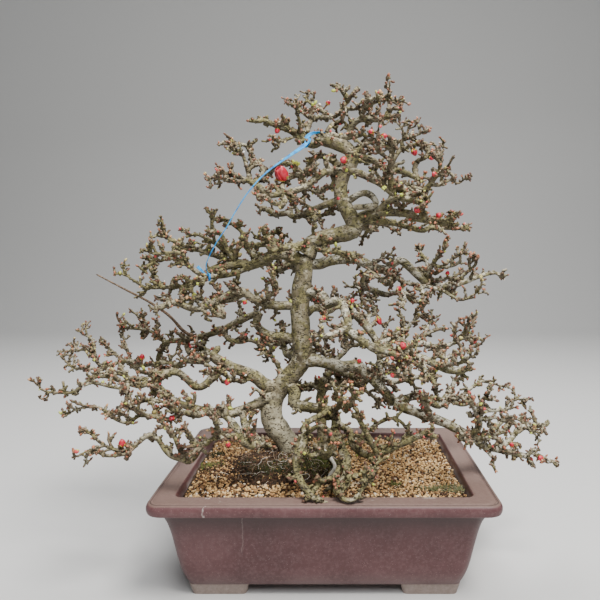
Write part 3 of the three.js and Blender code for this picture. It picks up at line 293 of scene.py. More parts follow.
wood = {
    # bark: broad and fine lumps, knots and the collar at a limb's foot, as shares of the radius; how far a
    # limb wanders from its line, also in radii; mm from knot to knot; a young shoot's share and least radius
    "lump": 0.085, "fineLump": 0.045, "knot": 0.16, "collar": 0.34, "wander": 0.10, "knotGap": (12, 30),
    "shoot": (0.8, 1.05),
    # points round a limb that is at least so thick
    "sides": [(8, 22), (5, 14), (3.4, 10), (2.2, 8), (0, 6)],
    # limbs, by their family or by family and place in it: lichen-covered, pale, without twigs, smooth
    # and young, and those that bear sprays as well
    "mossy": ["front", "mid1", "leftTop", "shoulder", "rightTop", "crown1", "head2", "head3", "head4",
              "head5", "hanging"],
    "pale": ["rightLow", "pad", "mid", "rightMid", "arch"],
    "bareLimbs": ["trunk0", "trunk2", "trunk3", "leftOne1", "deadRoot", "leftMid1", "arch", "root",
                  "hanging1"],
    "shoots": ["leftMid1", "leftMid4"],
    "full": ["leftTwo", "mid", "backLow", "leftMid", "leftHigh", "leftTop", "shoulder", "back"],
    # families of limbs, each limb: radius at its foot and at its tip, then the points of its line
    "limbs": {
        # the trunk in two lengths, the cut stub at its bend, and the second stem behind it
        "trunk": [
            (12.5, 9.5, (-38, 6, 110), (-43, 6, 129), (-63, 5, 158), (-67, 4, 175), (-65, 4, 189),
             (-55, 4, 205), (-33, 3, 231), (-28, 3, 248), (-31, 1, 306), (-23, 0, 367)),
            (9.5, 6.5, (-23, 0, 367), (-15, -1, 380), (-1, -3, 386), (31, -5, 394), (34, -5, 403),
             (19, -6, 431), (18, -6, 447), (21, -5, 461), (29, -4, 471), (31, -4, 483), (23, -3, 492),
             (-4, 0, 502)),
            (7.5, 7, (31, -5, 394), (43, 10, 400)),
            (6.5, 5.5, (-4, 14, 117), (-6, 23, 178), (-5, 26, 199), (-1, 28, 213)),
        ],
        "leftOne": [
            (8.5, 5.5, (-48, 4, 212), (-62, 2, 205), (-75, 1, 209), (-87, 0, 219), (-117, -2, 232),
             (-138, -4, 245)),
            (4, 3.6, (-137, -4, 244), (-129, 4, 256)),
            (5.2, 3.8, (-122, -2, 235), (-134, -7, 221), (-152, -14, 209), (-173, -22, 228),
             (-192, -28, 228)),
            (4.6, 2.6, (-138, -4, 245), (-149, 3, 237), (-175, 16, 234), (-200, 30, 219)),
            (4.2, 3, (-138, -4, 245), (-150, 9, 245), (-164, 24, 239), (-174, 37, 242), (-178, 48, 248)),
            (2.6, 1.8, (-91, 0, 221), (-103, -10, 215), (-136, -60, 247)),
        ],
        "leftTwo": [
            (6.8, 3.2, (-56, 4, 203), (-65, -1, 195), (-101, -13, 181), (-124, -20, 179), (-167, -34, 193),
             (-191, -44, 211)),
            (4.4, 4, (-100, -12, 182), (-92, -39, 168), (-69, -74, 160)),
            (4.2, 3.4, (-69, -74, 160), (-82, -82, 160), (-91, -86, 170), (-96, -84, 181), (-114, -70, 193)),
            (4.2, 2.6, (-140, -26, 185), (-147, -41, 183), (-163, -84, 200)),
        ],
        "leftLow": [
            (3.8, 2.4, (-92, -86, 171), (-111, -95, 174), (-129, -104, 170)),
            (3.4, 2.4, (-124, -102, 171), (-132, -105, 167), (-142, -112, 184)),
            (3.2, 2, (-129, -104, 170), (-138, -102, 154), (-148, -101, 151), (-162, -97, 181),
             (-171, -96, 188)),
            (3, 1.4, (-148, -101, 151), (-164, -102, 157), (-181, -104, 179), (-201, -105, 166),
             (-214, -106, 163), (-231, -107, 169), (-245, -108, 183)),
            (2.2, 1.2, (-200, -105, 167), (-208, -108, 160), (-229, -113, 160), (-236, -116, 169),
             (-243, -118, 165)),
            (3, 1.6, (-110, -94, 174), (-112, -128, 203)),
        ],
        "far": [
            (3.4, 1.2, (-182, -25, 228), (-217, -28, 214), (-262, -31, 226), (-291, -33, 209),
             (-301, -34, 207), (-321, -35, 208), (-330, -36, 213)),
            (3.4, 1.3, (-175, -37, 198), (-204, -26, 220), (-230, -19, 219), (-243, -15, 225),
             (-270, -8, 225), (-280, -5, 230), (-305, 1, 229), (-320, 6, 239)),
            (2.8, 1.2, (-186, 22, 229), (-202, 25, 231), (-238, 31, 226), (-251, 34, 232), (-287, 40, 224),
             (-302, 44, 240), (-311, 45, 244), (-350, 52, 240)),
            (2.2, 1.1, (-296, 43, 235), (-308, 64, 254), (-327, 78, 260)),
            (2.6, 1.3, (-199, 30, 220), (-236, 41, 216), (-293, 62, 249)),
            (2.2, 1.2, (-250, 46, 223), (-275, 84, 260)),
            (2.6, 1.2, (-163, -84, 200), (-178, -81, 208), (-193, -79, 210), (-205, -78, 206),
             (-217, -76, 207), (-234, -73, 194), (-252, -70, 200), (-274, -67, 197), (-283, -66, 192)),
            (2.8, 1.6, (-159, -74, 196), (-169, -78, 188), (-196, -88, 196), (-210, -94, 189),
             (-224, -100, 196)),
            (2.2, 1.6, (-217, -76, 207), (-218, -67, 225), (-227, -62, 219), (-263, -48, 222)),
            (2, 1.4, (-190, -86, 192), (-198, -116, 215)),
        ],
        "front": [
            (6.6, 5, (-48, 3, 212), (-37, -5, 200), (-35, -14, 188), (5, -41, 188), (12, -47, 183),
             (12, -58, 170)),
            (4.6, 3, (12, -58, 170), (10, -73, 158), (2, -87, 150), (-5, -95, 157), (-13, -104, 156)),
            (4.4, 2.4, (12, -58, 170), (18, -72, 156), (18, -85, 143), (11, -98, 132), (-3, -109, 130),
             (-19, -130, 119)),
            (3, 1.8, (18, -85, 143), (26, -100, 135), (23, -112, 128), (13, -126, 124)),
            (4.2, 3.2, (12, -52, 176), (27, -61, 170), (30, -67, 159), (38, -73, 151), (48, -78, 148),
             (58, -83, 150), (105, -110, 183)),
            (3.4, 2.2, (58, -83, 150), (35, -96, 196)),
            (3.8, 2.4, (6, -42, 188), (-19, -68, 182), (-23, -80, 175), (-22, -90, 168)),
            (2.8, 1.8, (48, -78, 148), (53, -97, 143), (43, -115, 141), (41, -128, 137)),
            (3.4, 2.2, (8, -43, 186), (19, -67, 202), (23, -81, 199), (31, -112, 223)),
            (2.8, 2, (-23, -84, 172), (-7, -96, 186), (4, -104, 184), (9, -112, 176)),
            (2.6, 1.6, (38, -73, 151), (41, -72, 168), (65, -71, 185), (80, -71, 186), (92, -70, 174)),
            (2.4, 1.6, (18, -66, 201), (11, -124, 232)),
        ],
        # the pale dead root that stands clear of the soil
        "deadRoot": [
            (2.6, 1.9, (-4, 15, 123), (4, -12, 124), (11, -38, 121), (6, -50, 116), (1, -58, 108)),
        ],
        "rightLow": [
            (7.6, 5.4, (-32, 3, 235), (-15, 0, 239), (17, -7, 233), (35, -11, 234), (46, -13, 228),
             (75, -22, 200), (81, -24, 191)),
            (5.6, 4.4, (81, -24, 191), (137, -41, 173), (173, -52, 157)),
            (4.6, 4, (81, -24, 191), (92, -19, 196), (115, -9, 196), (133, 0, 184), (141, 3, 183),
             (151, 10, 195)),
        ],
        "pad": [
            (3.2, 1.8, (151, 10, 195), (166, 26, 216)),
            (3, 2, (147, 6, 188), (136, 2, 193), (131, -8, 216)),
            (2.8, 1.1, (150, 9, 193), (164, 14, 189), (192, 27, 205), (203, 32, 205), (230, 42, 196)),
            (3.2, 2.2, (148, 7, 190), (167, 15, 180), (180, 20, 180)),
            (4.2, 3, (173, -52, 157), (182, -48, 148), (237, -30, 130)),
            (2, 1.2, (237, -30, 130), (245, -33, 135), (263, -40, 127)),
            (3.6, 1.8, (200, -42, 143), (221, -26, 151), (232, -14, 159), (256, 1, 160), (273, 11, 155),
             (279, 16, 159)),
            (3.4, 1.8, (166, -50, 162), (173, -64, 179), (155, -88, 212)),
            (3, 2, (170, -68, 185), (174, -69, 195), (171, -69, 203), (177, -70, 213)),
            (2.6, 1.2, (174, -69, 195), (201, -74, 199), (207, -77, 210), (214, -78, 210)),
            (3.4, 2.2, (173, -52, 157), (200, -31, 156), (219, -14, 164)),
            (3, 1.8, (185, -42, 158), (215, -14, 169), (240, 4, 165)),
            (2.2, 1.6, (170, -68, 185), (190, -62, 186), (197, -60, 182)),
            (2.6, 1.8, (182, -48, 148), (189, -62, 138)),
            (2.6, 2, (166, -50, 162), (155, -76, 164), (146, -96, 173)),
            (3.4, 2.4, (123, -36, 177), (105, -98, 215)),
            (1.8, 1.2, (244, -7, 158), (260, 20, 144), (275, 40, 137)),
        ],
        "mid": [
            (6, 4.4, (-29, 1, 317), (-14, -7, 322), (-2, -14, 318), (2, -19, 309), (11, -25, 313),
             (19, -29, 310), (26, -41, 292), (24, -46, 283)),
            (4.6, 3.8, (24, -46, 283), (55, -54, 262), (68, -57, 260), (91, -63, 250), (105, -66, 254),
             (135, -74, 242), (153, -78, 243)),
            (4.2, 3.6, (19, -30, 309), (36, -27, 296), (60, -23, 266), (64, -20, 241)),
            (4.2, 2, (61, -22, 260), (83, -19, 268), (102, -16, 259), (113, -14, 261), (140, -11, 257),
             (169, -6, 269)),
            (2, 1.1, (166, -7, 268), (190, 10, 262)),
            (2.8, 1.8, (157, -8, 265), (165, -19, 277), (166, -26, 289)),
            (2.6, 1.4, (113, -14, 261), (131, 32, 283)),
            (2.6, 1.2, (92, -17, 264), (92, -2, 272), (121, 43, 290), (129, 52, 288)),
            (2.6, 1.4, (117, -69, 251), (124, -64, 256), (136, -56, 252), (157, -44, 258)),
            (2.6, 1.4, (127, -72, 247), (144, -95, 254), (151, -108, 263)),
            (3.2, 2.4, (64, -20, 243), (66, -23, 229), (73, -25, 219), (86, -27, 219), (121, -34, 229)),
            (3, 2, (91, -63, 250), (84, -75, 244), (72, -90, 245), (73, -99, 241), (81, -112, 243)),
            (3, 2, (105, -66, 254), (105, -116, 246)),
            (2.8, 2, (91, -63, 250), (93, -79, 262), (86, -95, 272), (79, -104, 272)),
            (3.6, 2.4, (24, -46, 283), (1, -71, 279), (-6, -80, 282)),
            (3.4, 2.8, (0, -3, 236), (14, 2, 241), (30, 10, 255), (42, 14, 255)),
            (2.2, 1.8, (28, 9, 253), (23, 26, 263)),
            (2.6, 1.6, (52, -24, 276), (51, -5, 292), (61, 6, 296), (53, 24, 310)),
            (2.4, 1.6, (61, -22, 261), (70, -10, 269), (72, 2, 279)),
            (4.2, 3.6, (-30, 2, 263), (-18, 18, 260), (-4, 46, 241)),
        ],
        "backLow": [
            (4, 1.6, (-1, 28, 213), (10, 35, 202), (38, 47, 198), (65, 60, 177), (79, 66, 172)),
            (4, 2.4, (-5, 26, 196), (-20, 42, 199), (-50, 73, 182), (-69, 92, 186)),
            (4.4, 2.6, (-1, 28, 213), (11, 36, 217), (43, 55, 205), (60, 66, 211), (73, 74, 201)),
        ],
        "leftMid": [
            (5.4, 3, (-29, 2, 257), (-41, 6, 265), (-71, 12, 269), (-85, 16, 281), (-83, 18, 293),
             (-97, 21, 289), (-149, 33, 265), (-207, 44, 254)),
            (3, 1, (-167, 36, 263), (-181, 39, 269), (-214, 50, 297), (-303, 72, 340)),
            (3.2, 2.2, (-206, 44, 254), (-214, 47, 242), (-217, 50, 228), (-211, 53, 216), (-220, 56, 206)),
            (2.6, 1.4, (-206, 44, 254), (-231, 58, 267), (-265, 74, 268)),
            (2, 1.4, (-230, 58, 267), (-242, 68, 256), (-252, 92, 282)),
            (3, 2, (-131, 29, 272), (-120, 24, 260), (-105, 20, 258), (-94, 16, 261), (-81, 12, 256)),
            (2.8, 1.8, (-53, 3, 210), (-58, 15, 226), (-80, 34, 251)),
            (2.8, 2, (-149, 33, 265), (-154, 28, 253), (-149, 24, 245), (-158, 20, 248)),
        ],
        "leftHigh": [
            (5.6, 3.2, (-31, 1, 306), (-63, -2, 306), (-87, -4, 314), (-97, -5, 322), (-109, -6, 322),
             (-143, -9, 305), (-156, -10, 302), (-179, -12, 310), (-198, -14, 303)),
            (3.4, 2.4, (-96, -5, 321), (-112, -1, 313), (-142, 7, 308), (-156, 11, 314), (-194, 20, 307)),
            (3, 2, (-132, -8, 312), (-121, -19, 302), (-118, -27, 294), (-128, -40, 303)),
            (2.8, 1.6, (-76, -3, 309), (-58, -27, 325), (-55, -37, 334), (-58, -46, 340)),
            (2.6, 1.8, (-63, -2, 306), (-70, 11, 312), (-75, 34, 328)),
        ],
        "leftTop": [
            (7, 4, (-25, 0, 357), (-52, 2, 367), (-65, 2, 365), (-91, 4, 353), (-105, 4, 355),
             (-136, 6, 348), (-166, 8, 328)),
            (3.8, 2, (-105, 4, 355), (-165, 28, 373), (-194, 40, 363)),
            (3.4, 1.4, (-91, 4, 353), (-106, -1, 345), (-137, -11, 340), (-149, -16, 345), (-166, -23, 359),
             (-179, -27, 362), (-192, -32, 359)),
            (2.8, 1.2, (-166, 8, 328), (-215, 15, 326), (-227, 17, 329), (-247, 20, 342)),
            (2.6, 1.4, (-165, 28, 373), (-203, 51, 387), (-210, 60, 401)),
            (3, 1.5, (-122, 11, 359), (-126, 12, 374), (-154, 15, 390), (-165, 16, 390)),
            (3.2, 2, (-105, 4, 355), (-116, -1, 370), (-123, -8, 391), (-132, -11, 395), (-132, -16, 410)),
            (3.4, 2, (-78, 3, 358), (-101, 17, 379), (-103, 23, 393), (-123, 34, 409)),
            (2.4, 1.6, (-158, -19, 352), (-166, -30, 368), (-190, -46, 368), (-194, -50, 371)),
            (2.4, 1.6, (-197, 12, 325), (-218, 29, 347), (-221, 36, 359)),
            (4, 2.6, (-52, 2, 367), (-59, -5, 376), (-67, -11, 379), (-87, -24, 377), (-93, -30, 384)),
            (2.8, 1.8, (-68, -11, 379), (-70, -44, 395)),
            (3.8, 2.6, (-39, 1, 361), (-68, 32, 387), (-65, 39, 394), (-57, 46, 392)),
        ],
        "shoulder": [
            (4.4, 2.6, (-9, -2, 383), (-60, -28, 371)),
            (4, 2.2, (-17, -1, 377), (-4, -10, 372), (30, -40, 368)),
            (2, 1.4, (-9, -2, 383), (-15, -8, 393), (-13, -14, 405)),
        ],
        "rightMid": [
            (6.4, 4.4, (-25, 0, 357), (-9, 3, 355), (5, 5, 359), (35, 11, 361), (61, 16, 350), (74, 18, 349),
             (86, 20, 357), (97, 22, 356), (130, 29, 328), (158, 34, 327)),
            (4.2, 1.8, (158, 34, 327), (209, 48, 342), (223, 52, 340)),
            (2.4, 1.6, (173, 38, 329), (172, 37, 339), (187, 35, 353), (185, 34, 359)),
            (2.8, 2, (121, 28, 334), (129, 52, 355), (120, 72, 372)),
            (3, 2, (125, 28, 332), (129, 19, 351), (143, 6, 374)),
            (2.2, 1.5, (131, 17, 354), (142, 9, 351), (152, 2, 353), (159, -4, 358), (159, -10, 367)),
            (2.8, 1.8, (122, 28, 333), (155, 12, 339)),
            (3, 1.3, (74, 18, 349), (86, 16, 343), (95, 14, 333), (138, 8, 324), (163, 3, 312),
             (183, 0, 322)),
            (4, 2.8, (59, 15, 351), (49, 22, 341), (47, 27, 328), (73, 39, 316), (89, 46, 317),
             (103, 52, 313), (111, 56, 306), (126, 62, 304)),
            (2.4, 1.8, (54, 31, 323), (45, 57, 321), (38, 78, 324)),
            (2.6, 2, (96, 14, 333), (92, 4, 324), (94, -9, 313), (89, -16, 309)),
            (2.6, 2, (115, 11, 327), (116, -8, 319), (111, -22, 312)),
            (2.6, 1.4, (62, 16, 350), (58, 14, 357), (74, 10, 363)),
            (2.6, 1.8, (86, 16, 343), (72, -8, 335), (60, -28, 341)),
        ],
        "rightTop": [
            (6, 3, (32, -5, 406), (59, -8, 416), (89, -12, 415), (101, -13, 413), (110, -14, 408),
             (144, -18, 402)),
            (5, 2, (34, -5, 402), (48, -1, 407), (78, 6, 405), (116, 16, 396), (128, 19, 399),
             (169, 28, 398)),
            (2.4, 1.6, (123, -16, 407), (129, -20, 410), (135, -24, 406), (145, -30, 410)),
            (2.8, 1.8, (110, -14, 408), (112, -40, 427)),
            (4, 2.6, (59, -8, 416), (76, -24, 430), (87, -32, 431), (104, -46, 425)),
            (3, 2, (87, -32, 431), (95, -28, 436), (105, -24, 434), (114, -20, 441)),
        ],
        "arch": [
            (4.2, 3.6, (21, -6, 425), (40, -11, 437), (51, -13, 437), (58, -15, 430), (56, -17, 423),
             (31, -22, 421)),
        ],
        "crown": [
            (5, 3, (22, -5, 462), (32, -8, 464), (56, -16, 453), (76, -23, 437), (82, -26, 429)),
            (4.8, 3.2, (29, -4, 473), (42, 2, 480), (54, 7, 479), (76, 18, 468), (90, 24, 468),
             (113, 34, 460)),
            (3.4, 1.6, (112, 34, 460), (110, 36, 473), (114, 38, 482), (124, 40, 487), (127, 42, 499),
             (121, 44, 505), (99, 48, 500)),
            (2, 1.4, (124, 40, 487), (146, 60, 504)),
            (3.2, 1.6, (77, 19, 468), (83, 16, 483), (92, 15, 494), (93, 13, 503), (115, 10, 511)),
            (1.8, 1, (93, 13, 503), (91, 7, 514), (83, 2, 522)),
            (1.6, 1, (93, 13, 503), (101, 24, 521)),
            (4, 2.2, (67, -20, 444), (81, -23, 445), (101, -30, 436), (112, -33, 440), (124, -38, 454),
             (128, -41, 463), (127, -44, 473)),
            (2.4, 1, (119, -36, 446), (129, -35, 445), (141, -33, 451), (150, -31, 447), (157, -30, 452)),
            (2.2, 1.4, (124, -38, 454), (132, -62, 461)),
            (2, 1.4, (111, -33, 440), (90, -62, 440)),
            (3.4, 2.4, (76, -23, 437), (73, -37, 463), (75, -50, 485)),
            (2.6, 1.8, (74, -48, 482), (62, -51, 488), (50, -54, 489), (40, -56, 485), (35, -58, 478)),
            (2.2, 1.6, (73, -42, 472), (56, -59, 480), (59, -66, 486)),
            (2.4, 1.8, (70, -21, 443), (54, -54, 459)),
            (1.6, 1.1, (56, -52, 488), (58, -66, 504)),
        ],
        "crownLeft": [
            (4.4, 3.2, (21, -5, 461), (7, -9, 465), (-5, -13, 460), (-28, -21, 442), (-67, -34, 432)),
            (4.2, 1.4, (-62, -32, 433), (-84, -28, 449), (-111, -24, 459), (-123, -22, 460),
             (-131, -20, 453)),
            (2.6, 1.6, (-90, -27, 451), (-102, -32, 449), (-117, -40, 452)),
            (2.6, 1.4, (-85, -28, 449), (-96, -13, 483), (-107, -8, 488)),
            (3, 1.8, (-81, -29, 447), (-72, -19, 460), (-75, -13, 471), (-86, -5, 480), (-89, 1, 490),
             (-100, 8, 497), (-116, 16, 499)),
            (3, 2, (-47, -28, 436), (-48, -18, 450), (-25, 0, 464)),
            (3.2, 2.2, (-47, -28, 436), (-46, -37, 425), (-57, -47, 424), (-65, -58, 430)),
        ],
        "crownArm": [
            (4.6, 3.2, (20, -6, 428), (6, 1, 428), (-35, 21, 413), (-47, 27, 417), (-62, 33, 416),
             (-76, 40, 423)),
            (2.2, 1.4, (-31, 19, 415), (-44, 62, 433)),
            (3, 2, (-31, 19, 415), (-18, 16, 411), (-3, 14, 414), (5, 12, 421)),
        ],
        "crownBridge": [
            (4, 3, (25, -4, 466), (-2, 14, 484), (-13, 21, 483), (-28, 37, 463), (-29, 44, 452)),
            (3.4, 2.2, (-28, 37, 463), (-36, 43, 473), (-49, 50, 480), (-62, 57, 479), (-75, 64, 471)),
        ],
        "head": [
            (4.6, 3, (1, 0, 499), (6, -2, 505), (19, -4, 503), (44, -8, 506)),
            (4.2, 2.8, (8, -1, 496), (34, 10, 492), (45, 14, 496)),
            (4.4, 2.6, (-3, 0, 502), (-16, -3, 494), (-36, -10, 507), (-72, -20, 520)),
            (3, 2, (-19, -4, 496), (-23, 4, 509), (-45, 16, 516)),
            (2, 1.2, (-32, -9, 505), (-47, -23, 496), (-58, -38, 495)),
            (2.4, 1.4, (-32, -8, 504), (-29, -17, 516), (-33, -30, 530)),
            (4, 2.4, (29, -6, 505), (30, -9, 514), (36, -12, 520), (46, -15, 523), (57, -19, 520),
             (68, -23, 522), (71, -26, 530)),
            (2.8, 2, (41, -14, 522), (46, -31, 536), (54, -40, 539)),
            (2.2, 1.2, (45, -26, 532), (63, -42, 537), (76, -54, 531)),
            (1.8, 1.3, (63, -42, 537), (69, -52, 540), (68, -60, 544)),
            (3, 2.2, (-23, 4, 509), (-15, 9, 527), (8, 14, 530), (18, 17, 538), (39, 26, 569)),
            (2.6, 2.4, (27, 21, 551), (17, 12, 563)),
            (2.6, 1.2, (7, 14, 530), (-22, 37, 554), (-23, 44, 565)),
            (1.6, 1, (-22, 37, 554), (-33, 46, 553), (-43, 54, 559)),
            (2.4, 1.6, (21, 18, 542), (32, 4, 537), (44, -12, 537)),
            (1.8, 1.4, (-11, 10, 527), (-21, 21, 531), (-30, 32, 540)),
            (2.4, 1.6, (1, 0, 500), (2, 6, 513), (10, 13, 523), (20, 18, 526), (29, 24, 520)),
        ],
        # limbs behind the trunk, which no picture of its front shows
        "back": [
            (6, 2.2, (-33, 3, 231), (-40, 30, 240), (-52, 58, 236), (-60, 84, 246), (-78, 104, 240),
             (-92, 124, 250)),
            (3, 1.5, (-52, 58, 236), (-30, 74, 228), (-12, 90, 236), (2, 110, 230)),
            (5, 2, (-30, 2, 290), (-14, 24, 300), (4, 46, 294), (20, 66, 304), (44, 84, 298),
             (60, 102, 308)),
            (2.8, 1.4, (4, 46, 294), (-6, 66, 306), (-14, 84, 300), (-24, 100, 312)),
            (5, 1.8, (-26, 0, 345), (-44, 24, 352), (-62, 44, 346), (-80, 64, 354), (-104, 80, 348)),
            (2.8, 1.4, (-62, 44, 346), (-52, 64, 356), (-44, 84, 350), (-48, 102, 358)),
            (4, 1.6, (31, -5, 398), (44, 20, 402), (58, 42, 396), (66, 64, 406), (88, 80, 400)),
            (3.4, 1.4, (19, -6, 440), (4, 16, 448), (-8, 38, 442), (-22, 58, 450)),
            (3, 1.4, (30, -4, 478), (40, 20, 484), (52, 42, 478), (54, 60, 488)),
            (4.4, 1.8, (-5, 25, 195), (14, 48, 204), (34, 66, 198), (52, 88, 208), (80, 100, 202),
             (104, 114, 212)),
            (2.4, 1.4, (34, 66, 198), (28, 88, 192), (36, 108, 200), (28, 124, 194)),
        ],
        # roots that run into the soil
        "root": [
            (8, 6.8, (-40, 6, 114), (-22, 9, 108), (-4, 14, 116)),
            (6, 2.6, (-40, 6, 120), (-58, -2, 114), (-74, -12, 106)),
            (5, 2.2, (-39, 6, 118), (-36, -12, 113), (-28, -28, 106)),
            (6, 2.6, (-40, 7, 119), (-50, 26, 112), (-62, 40, 104)),
        ],
        # three short limbs that hang down in front of the root ball
        "hanging": [
            (5.4, 3, (-22, -87, 171), (-26, -95, 161), (-29, -103, 149), (-28, -110, 138), (-22, -117, 129),
             (-14, -124, 122), (-8, -129, 120)),
            (3.6, 2.4, (18, -72, 157), (25, -84, 146), (22, -95, 134), (14, -106, 127), (10, -118, 121)),
            (2.7, 1.9, (23, -112, 128), (17, -121, 123), (19, -127, 120), (26, -130, 119), (33, -129, 121),
             (38, -124, 127), (45, -118, 134)),
        ],
    },
}


# every limb by family and place in it
limbs = {f"{family}{i}": row for family, rows in wood["limbs"].items() for i, row in enumerate(rows)}


def isOne(name, chosen):
    return name in chosen or name.rstrip("0123456789") in chosen


def makeLimb(number, name, first, last, *line):
    # a round limb: radius runs evenly from foot to tip, times a collar at the foot (e to the minus
    # run over radius), knots every 12 to 30 mm (narrow bells), and two soft noises on the bark; the tip
    # is rounded off
    draw = np.random.default_rng(700 + number)
    thick = max(first, last)
    path, run = walk(line, 2.2 if thick > 5 else 2.8 if thick > 2.6 else 3.2)
    length = run[-1]
    wander = ripple(path, 11, number)[:, None] * draw.normal(size=3) * wood["wander"] * thick
    path = path + wander * np.sin(np.pi * run / length)[:, None]
    radius = first + (last - first) * run / length
    radius = radius * (1 + wood["collar"] * np.exp(-run / (1.1 * first)))
    shoot = isOne(name, wood["shoots"])
    if shoot:
        radius = np.maximum(radius * wood["shoot"][0], wood["shoot"][1])
    knots = np.cumsum(draw.uniform(*wood["knotGap"], 40))
    bells = np.exp(-0.5 * ((run[:, None] - knots) / (0.55 * thick + 0.8)) ** 2) * draw.uniform(0.3, 1, 40)
    radius = radius * (1 + wood["knot"] * bells.sum(1))
    left = np.clip((length - run) / (last * 0.9), 0, 1)
    radius = radius * np.sqrt(1 - (1 - left) ** 2 * 0.93)
    sides = next(count for least, count in wood["sides"] if thick > least)
    points, quads, triangles = bundle(path[None], radius[None], sides)
    middle = np.concatenate([np.repeat(path, sides, axis=0), path[:1], path[-1:]])
    swell = wood["lump"] * ripple(points, 4 + 0.9 * thick, 11) + wood["fineLump"] * ripple(points, 2.4, 12)
    points = middle + (points - middle) * (1 + swell)[:, None]
    moss = 0.9 if isOne(name, wood["mossy"]) else 0.25
    pale = 3.0 if isOne(name, ["deadRoot"]) else 0.9 if isOne(name, wood["pale"]) else 0.15
    young = perPoint(np.clip(1 - radius / 3.0 + shoot, 0, 1)[None], sides)
    full = np.ones(len(points))
    return points, quads, triangles, {"moss": moss * full, "pale": pale * full, "young": young}


twig = {
    # each kind: how many mm of wood to one, its length from and to, radius at foot and tip, bend at
    # each joint, rings, sides, and how far the random length leans to the short side
    "sprays": (30, (12, 32), (2.7, 1.6), 0.34, 9, 6, 1.1),
    "branchlets": (12.5, (5.5, 20), (2.6, 1.55), 0.33, 6, 6, 1.4),
    "forks": (12, (3.2, 9.5), (1.95, 1.35), 0.32, 4, 5, 1.4),
    "knobs": (4.2, (1.3, 3.8), (1.95, 1.4), 0.25, 3, 4, 1.3),
    # how many more grow at a limb's end and how far they spread, and how far all the others lift
    "fan": 2, "fanSpread": 0.75, "up": 0.38,
}


def limbStations(kind, seed, fan=0, only=None):
    # jittered places for one kind of twig along every limb that isn't bare, or only along some: point,
    # direction, radius, whether it is the limb's end, and whether the limb is mossy and pale; at each
    # end there are as many more as fan says
    draw = np.random.default_rng(seed)
    rows = []
    for name, (first, last, *line) in limbs.items():
        if isOne(name, wood["bareLimbs"]) or (only and not isOne(name, only)):
            continue
        path, run = walk(line, 1.5)
        count = int(run[-1] / twig[kind][0])
        share = (np.arange(count) + draw.uniform(0.1, 0.9, count)) / max(count, 1)
        spot = np.append(share, np.ones(fan)) * run[-1]
        point = np.stack([np.interp(spot, run, path[:, i]) for i in range(3)], 1)
        slope = unit(np.gradient(path, axis=0))
        along = unit(np.stack([np.interp(spot, run, slope[:, i]) for i in range(3)], 1))
        radius = first + (last - first) * spot / run[-1]
        tip = np.arange(len(spot)) >= count
        traits = np.full((len(spot), 2), (isOne(name, wood["mossy"]), isOne(name, wood["pale"])), float)
        keep = draw.uniform(0, 1, len(spot)) < np.clip(1.35 - radius / 8, 0.12, 1) + tip
        rows.append(np.concatenate([point, along, radius[:, None], tip[:, None], traits], 1)[keep])
    return np.concatenate(rows)


def twigStations(lines, rims, traits, share, seed):
    # the same rows on twigs: one random place on each line, for a random share of them
    draw = np.random.default_rng(seed)
    n, rings, _ = lines.shape
    ring = draw.integers(1, rings - 1, n)
    row = np.arange(n)
    along = unit(lines[row, ring + 1] - lines[row, ring])
    rows = np.concatenate([lines[row, ring], along, rims[row, ring][:, None], np.zeros((n, 1)), traits], 1)
    return rows[draw.uniform(0, 1, n) < share]


def growTwigs(stations, kind, seed):
    # a kinked twig from each station: it leaves the bark sideways with some lean and lift, and each
    # of its steps turns by a random amount; its radius runs evenly to the tip and varies at each joint
    _, long, (foot, tip), kink, rings, sides, short = twig[kind]
    draw = np.random.default_rng(seed)
    n = len(stations)
    point, along, radius, end = stations[:, :3], stations[:, 3:6], stations[:, 6:7], stations[:, 7:8]
    flat = unit(np.stack([-along[:, 1], along[:, 0], np.full(n, 1e-4)], 1))
    turn = draw.uniform(0, 2 * np.pi, (n, 1))
    way = flat * np.cos(turn) + np.cross(along, flat) * np.sin(turn)
    side = way + along * draw.uniform(0.1, 0.9, (n, 1)) + np.array([0, 0, twig["up"]])
    way = unit(np.where(end > 0, along + twig["fanSpread"] * way, side))
    size = long[0] + (long[1] - long[0]) * draw.uniform(0, 1, (n, 1)) ** short
    steps = way[:, None] + draw.normal(size=(n, rings, 3)) * kink
    steps = unit(steps) * (size / (rings - 1))[:, :, None]
    path = (point + way * radius * 0.5 * (1 - end))[:, None] + np.concatenate(
        [np.zeros((n, 1, 3)), np.cumsum(steps[:, 1:], axis=1)], axis=1)
    share = np.linspace(0, 1, rings)
    rim = draw.uniform(0.75, 1.25, (n, 1)) * (foot + (tip - foot) * share)
    rim = rim * (1 + 0.2 * draw.uniform(-1, 1, (n, rings)))
    rim = np.minimum(rim, np.maximum(radius * 0.95, 0.55))
    rim[:, 0] *= 1.35
    low, high = treeBox()
    inside = ((path > low + 1.5) & (path < high - 1.5)).all((1, 2))
    path, rim = path[inside], rim[inside]
    traits = stations[inside, 8:]
    spread = np.ones((1, rings))
    shades = {
        "moss": perPoint(traits[:, :1] * spread, sides),
        "pale": perPoint(traits[:, 1:] * spread * 0.25, sides),
        "young": perPoint(draw.uniform(0.35, 1.15, (len(path), 1)) * (0.35 + 0.65 * share), sides),
    }
    return (*bundle(path, rim, sides), shades), path, rim, traits


